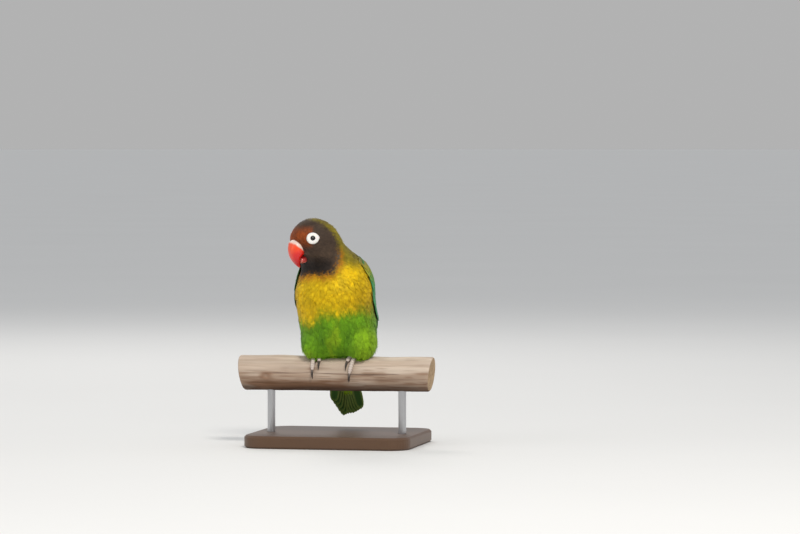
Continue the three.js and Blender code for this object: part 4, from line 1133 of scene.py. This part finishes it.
# ------------------------------------------------------------------ perch
NX, NA = 260, 144
xs = np.linspace(-PERCH_LEN / 2, PERCH_LEN / 2, NX)
aa = np.linspace(0, 2 * np.pi, NA, endpoint=False)
X, A = np.meshgrid(xs, aa, indexing="ij")
grip = 1 - smooth(22, 40, np.abs(X))
k = 1 + (1 - grip) * (0.022 * np.sin(2 * A + 0.05 * X) + 0.014 * np.sin(3 * A + 1.3 - 0.07 * X) + 0.012 * np.sin(0.16 * X)) - 0.004
pn = np.stack([X * 0.12, np.cos(A) * 10, np.sin(A) * 10], -1)
grain = noise(pn, 1.1, 61) * 0.5 + noise(pn, 2.6, 62)
rough_ = -0.10 * smooth(0.0, 0.8, grain)
# lengthways cracks
crack = np.zeros_like(X)
for (a0, x0, x1, depth, wob) in ((178, -60, 46, 0.8, 1.5), (196, -30, 62, 0.35, 2.2), (150, 6, 62, 0.3, 2.0), (214, -62, -18, 0.4, 1.2), (60, -62, 30, 0.4, 2.0), (300, -50, 62, 0.5, 1.6), (168, -62, -34, 0.3, 1.4)):
    line_a = rad(a0 + wob * np.sin(X * 0.09) + 1.2 * noise(np.stack([X, X * 0, X * 0 + a0], -1), 9, 63))
    da = (A - line_a + np.pi) % (2 * np.pi) - np.pi
    on = smooth(x0, x0 + 8, X) * smooth(x1, x1 - 8, X)
    crack = np.maximum(crack, depth * on * np.exp(-(da * PERCH_R / 0.22) ** 2))
edge_ = smooth(PERCH_LEN / 2 - 0.9, PERCH_LEN / 2, np.abs(X))
r = PERCH_R * k + rough_ - 0.55 * crack - 0.5 * edge_ ** 2
# a knot on the front
kn = np.hypot((X + 44) / 3.2, ((A - rad(188) + np.pi) % (2 * np.pi) - np.pi) * PERCH_R / 2.2)
r = r + 0.35 * np.exp(-(kn - 1) ** 2 * 4) - 0.3 * np.exp(-kn ** 2 * 3)
slant = lambda x, a, rr: 0.13 * np.sin(a) * rr * np.sign(x) * smooth(PERCH_LEN / 2 - 14, PERCH_LEN / 2, np.abs(x))
XX = X + slant(X, A, r)
P = np.stack([XX + PERCH_X, np.cos(A) * r, np.sin(A) * r + PERCH_Z], -1)
# saw-cut ends: rings in towards the pith
inner = np.linspace(0.97, 0.04, 32)
def end_rows(sgn):
    rows = []
    for f_ in inner:
        row_r = r[-1 if sgn > 0 else 0] * f_
        row_a = aa
        x_ = sgn * PERCH_LEN / 2 + 0.13 * np.sin(row_a) * row_r * sgn - 0.05 * sgn * np.cos(f_ * 60)
        rows.append(np.stack([x_ + PERCH_X, np.cos(row_a) * row_r, np.sin(row_a) * row_r + PERCH_Z], -1))
    return rows
P = np.concatenate([np.stack(end_rows(-1)[::-1]), P, np.stack(end_rows(1))], 0)
v, q4, t3 = closed_grid(P)
q4, t3 = outward_local(v, q4, t3)
WOOD, WOOD_PALE, WOOD_BROWN, WOOD_DARK = srgb(176, 152, 132), srgb(206, 188, 170), srgb(128, 92, 66), srgb(66, 46, 36)
pad = lambda M, a, b: np.concatenate([np.full((len(inner), NA), a), M, np.full((len(inner), NA), b)], 0)
Zc = P[..., 2] - PERCH_Z
pnn = np.stack([P[..., 0] * 0.10, P[..., 1], P[..., 2]], -1)
g1, g2, g3 = noise(pnn, 0.9, 64), noise(pnn, 2.4, 65), noise(np.stack([P[..., 0] * 0.35, P[..., 1], P[..., 2]], -1), 5.5, 66)
wc = mix(WOOD, WOOD_PALE, smooth(-0.3, 0.7, g2))
wc = mix(wc, WOOD_BROWN, 0.55 * smooth(0.1, 0.8, g1))
# paler over the top of the perch: painted light
wc = mix(wc, WOOD_PALE, 0.55 * smooth(0.5, 5.0, Zc + 1.2 * g3))
patch = smooth(1.0, -5.0, Zc + 2.6 * g3) * smooth(-0.5, 0.2, g3 + 0.6 * g2)
wc = mix(wc, WOOD_BROWN, 0.85 * patch)
# dark towards the bottom of the perch: painted shade
wc = mix(wc, WOOD_DARK, 0.75 * smooth(-5.5, -10.5, Zc + 1.8 * g3))
wc = mix(wc, WOOD_DARK, np.clip(pad(crack, 0, 0), 0, 1) * 0.95)
wc = mix(wc, WOOD_BROWN, pad(np.exp(-(kn - 0.6) ** 2 * 2), 0, 0) * 0.6)
ends = pad(np.zeros_like(X), 1, 1)
rr_ = np.hypot(P[..., 1], Zc)
ringc = mix(srgb(196, 170, 136), srgb(140, 108, 78), 0.4 + 0.4 * np.sin(np.hypot(P[..., 1] + 0.9, Zc - 0.6) * 6.0 + 0.5 * g3))
wc = mix(wc, ringc, ends)
col = np.concatenate([wc.reshape(-1, 3), wc[0].mean(0)[None] * 0.7, wc[-1].mean(0)[None] * 0.7])
finish(make("branch", v, [q4, t3], col), MAT_WOOD, "perch_wood", "perch")

# ------------------------------------------------------------------ stand
for name in ("stand_rod_left", "stand_rod_right"):
    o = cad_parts[name]
    o.data.materials.clear()
    o.data.materials.append(MAT_ROD)
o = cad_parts["stand_base"]
o.data.materials.clear()
o.data.materials.append(MAT_BASE)

# -------------------------------------------------------- floor and backdrop
def sheet_mesh(name, pts, quads):
    me = bpy.data.meshes.new(name)
    me.from_pydata([tuple(p) for p in pts], [], quads)
    me.update()
    ob = bpy.data.objects.new(name, me)
    bpy.context.scene.collection.objects.link(ob)
    return ob


# one wide round floor
FLOOR_R = 40.0
ring_n = 96
pts = [(0.0, 0.0, -0.00002)]
quads = []
for k_, rad_ in enumerate((0.5, 2.0, 8.0, FLOOR_R)):
    for i in range(ring_n):
        a = 2 * np.pi * i / ring_n
        pts.append((rad_ * np.cos(a), rad_ * np.sin(a), -0.00002))
for i in range(ring_n):
    quads.append((0, 1 + i, 1 + (i + 1) % ring_n))
for k_ in range(3):
    for i in range(ring_n):
        a, b_ = 1 + k_ * ring_n + i, 1 + k_ * ring_n + (i + 1) % ring_n
        quads.append((a, a + ring_n, b_ + ring_n, b_))
floor = sheet_mesh("floor", pts, quads)
for p in floor.data.polygons:
    p.use_smooth = True
fm_ = material("floor_paper", base=(0.80, 0.79, 0.77), rough=0.9, vary=0.01, vary_size=3.0, specular=0.1)
floor.data.materials.append(fm_)


def lamp(name, loc, target, size, power, colour=(1, 1, 1)):
    L = bpy.data.lights.new(name, "AREA")
    L.shape = "DISK"
    L.size = size
    L.energy = power
    L.color = colour
    o = bpy.data.objects.new(name, L)
    bpy.context.scene.collection.objects.link(o)
    o.location = loc
    o.rotation_euler = (Vector(target) - Vector(loc)).to_track_quat("-Z", "Y").to_euler()
    return o


AIM = (0.0, 0.0, 0.09)
bpy.context.scene.view_settings.view_transform = "Standard"
lamp("key", (0.55, -1.0, 1.25), AIM, 0.4, 13.0, (1.0, 0.97, 0.92))
lamp("fill", (-1.2, -1.0, 0.7), AIM, 1.0, 2.5, (0.94, 0.97, 1.0))
lamp("rim", (-0.5, 1.0, 1.1), AIM, 0.6, 5.0, (1.0, 0.98, 0.95))
world = bpy.data.worlds.new("World")
bpy.context.scene.world = world
world.use_nodes = True
wt = world.node_tree
coord, parts_, ramp = wt.nodes.new("ShaderNodeTexCoord"), wt.nodes.new("ShaderNodeSeparateXYZ"), wt.nodes.new("ShaderNodeValToRGB")
wt.links.new(coord.outputs["Generated"], parts_.inputs[0])
wt.links.new(parts_.outputs[2], ramp.inputs[0])
ramp.color_ramp.elements[0].position, ramp.color_ramp.elements[0].color = 0.04, (0.72, 0.72, 0.72, 1)
ramp.color_ramp.elements[1].position, ramp.color_ramp.elements[1].color = 0.6, (0.93, 0.96, 1.0, 1)
wt.links.new(ramp.outputs[0], wt.nodes["Background"].inputs["Color"])
wt.nodes["Background"].inputs["Strength"].default_value = 0.62

# --------------------------------------------------------------- the camera
AZ, EL, DIST, WIDE = rad(12), rad(2), 2.5, 0.512
right = np.array([np.cos(AZ), np.sin(AZ), 0])
away = np.array([np.sin(AZ) * np.cos(EL), -np.cos(AZ) * np.cos(EL), np.sin(EL)])
aim = (right * 40.6 + np.array([0, 0, 114.2]) + SHIFT) * MM
cam = bpy.data.cameras.new("Camera")
cam.sensor_width = 36.0
cam.lens = 36.0 * DIST / WIDE
cam.clip_start, cam.clip_end = 0.05, 200
cam.dof.use_dof = False
co = bpy.data.objects.new("Camera", cam)
bpy.context.scene.collection.objects.link(co)
co.location = Vector(aim + away * DIST)
co.rotation_euler = (Vector(aim) - co.location).to_track_quat("-Z", "Y").to_euler()
bpy.context.scene.camera = co


bpy.context.view_layer.update()
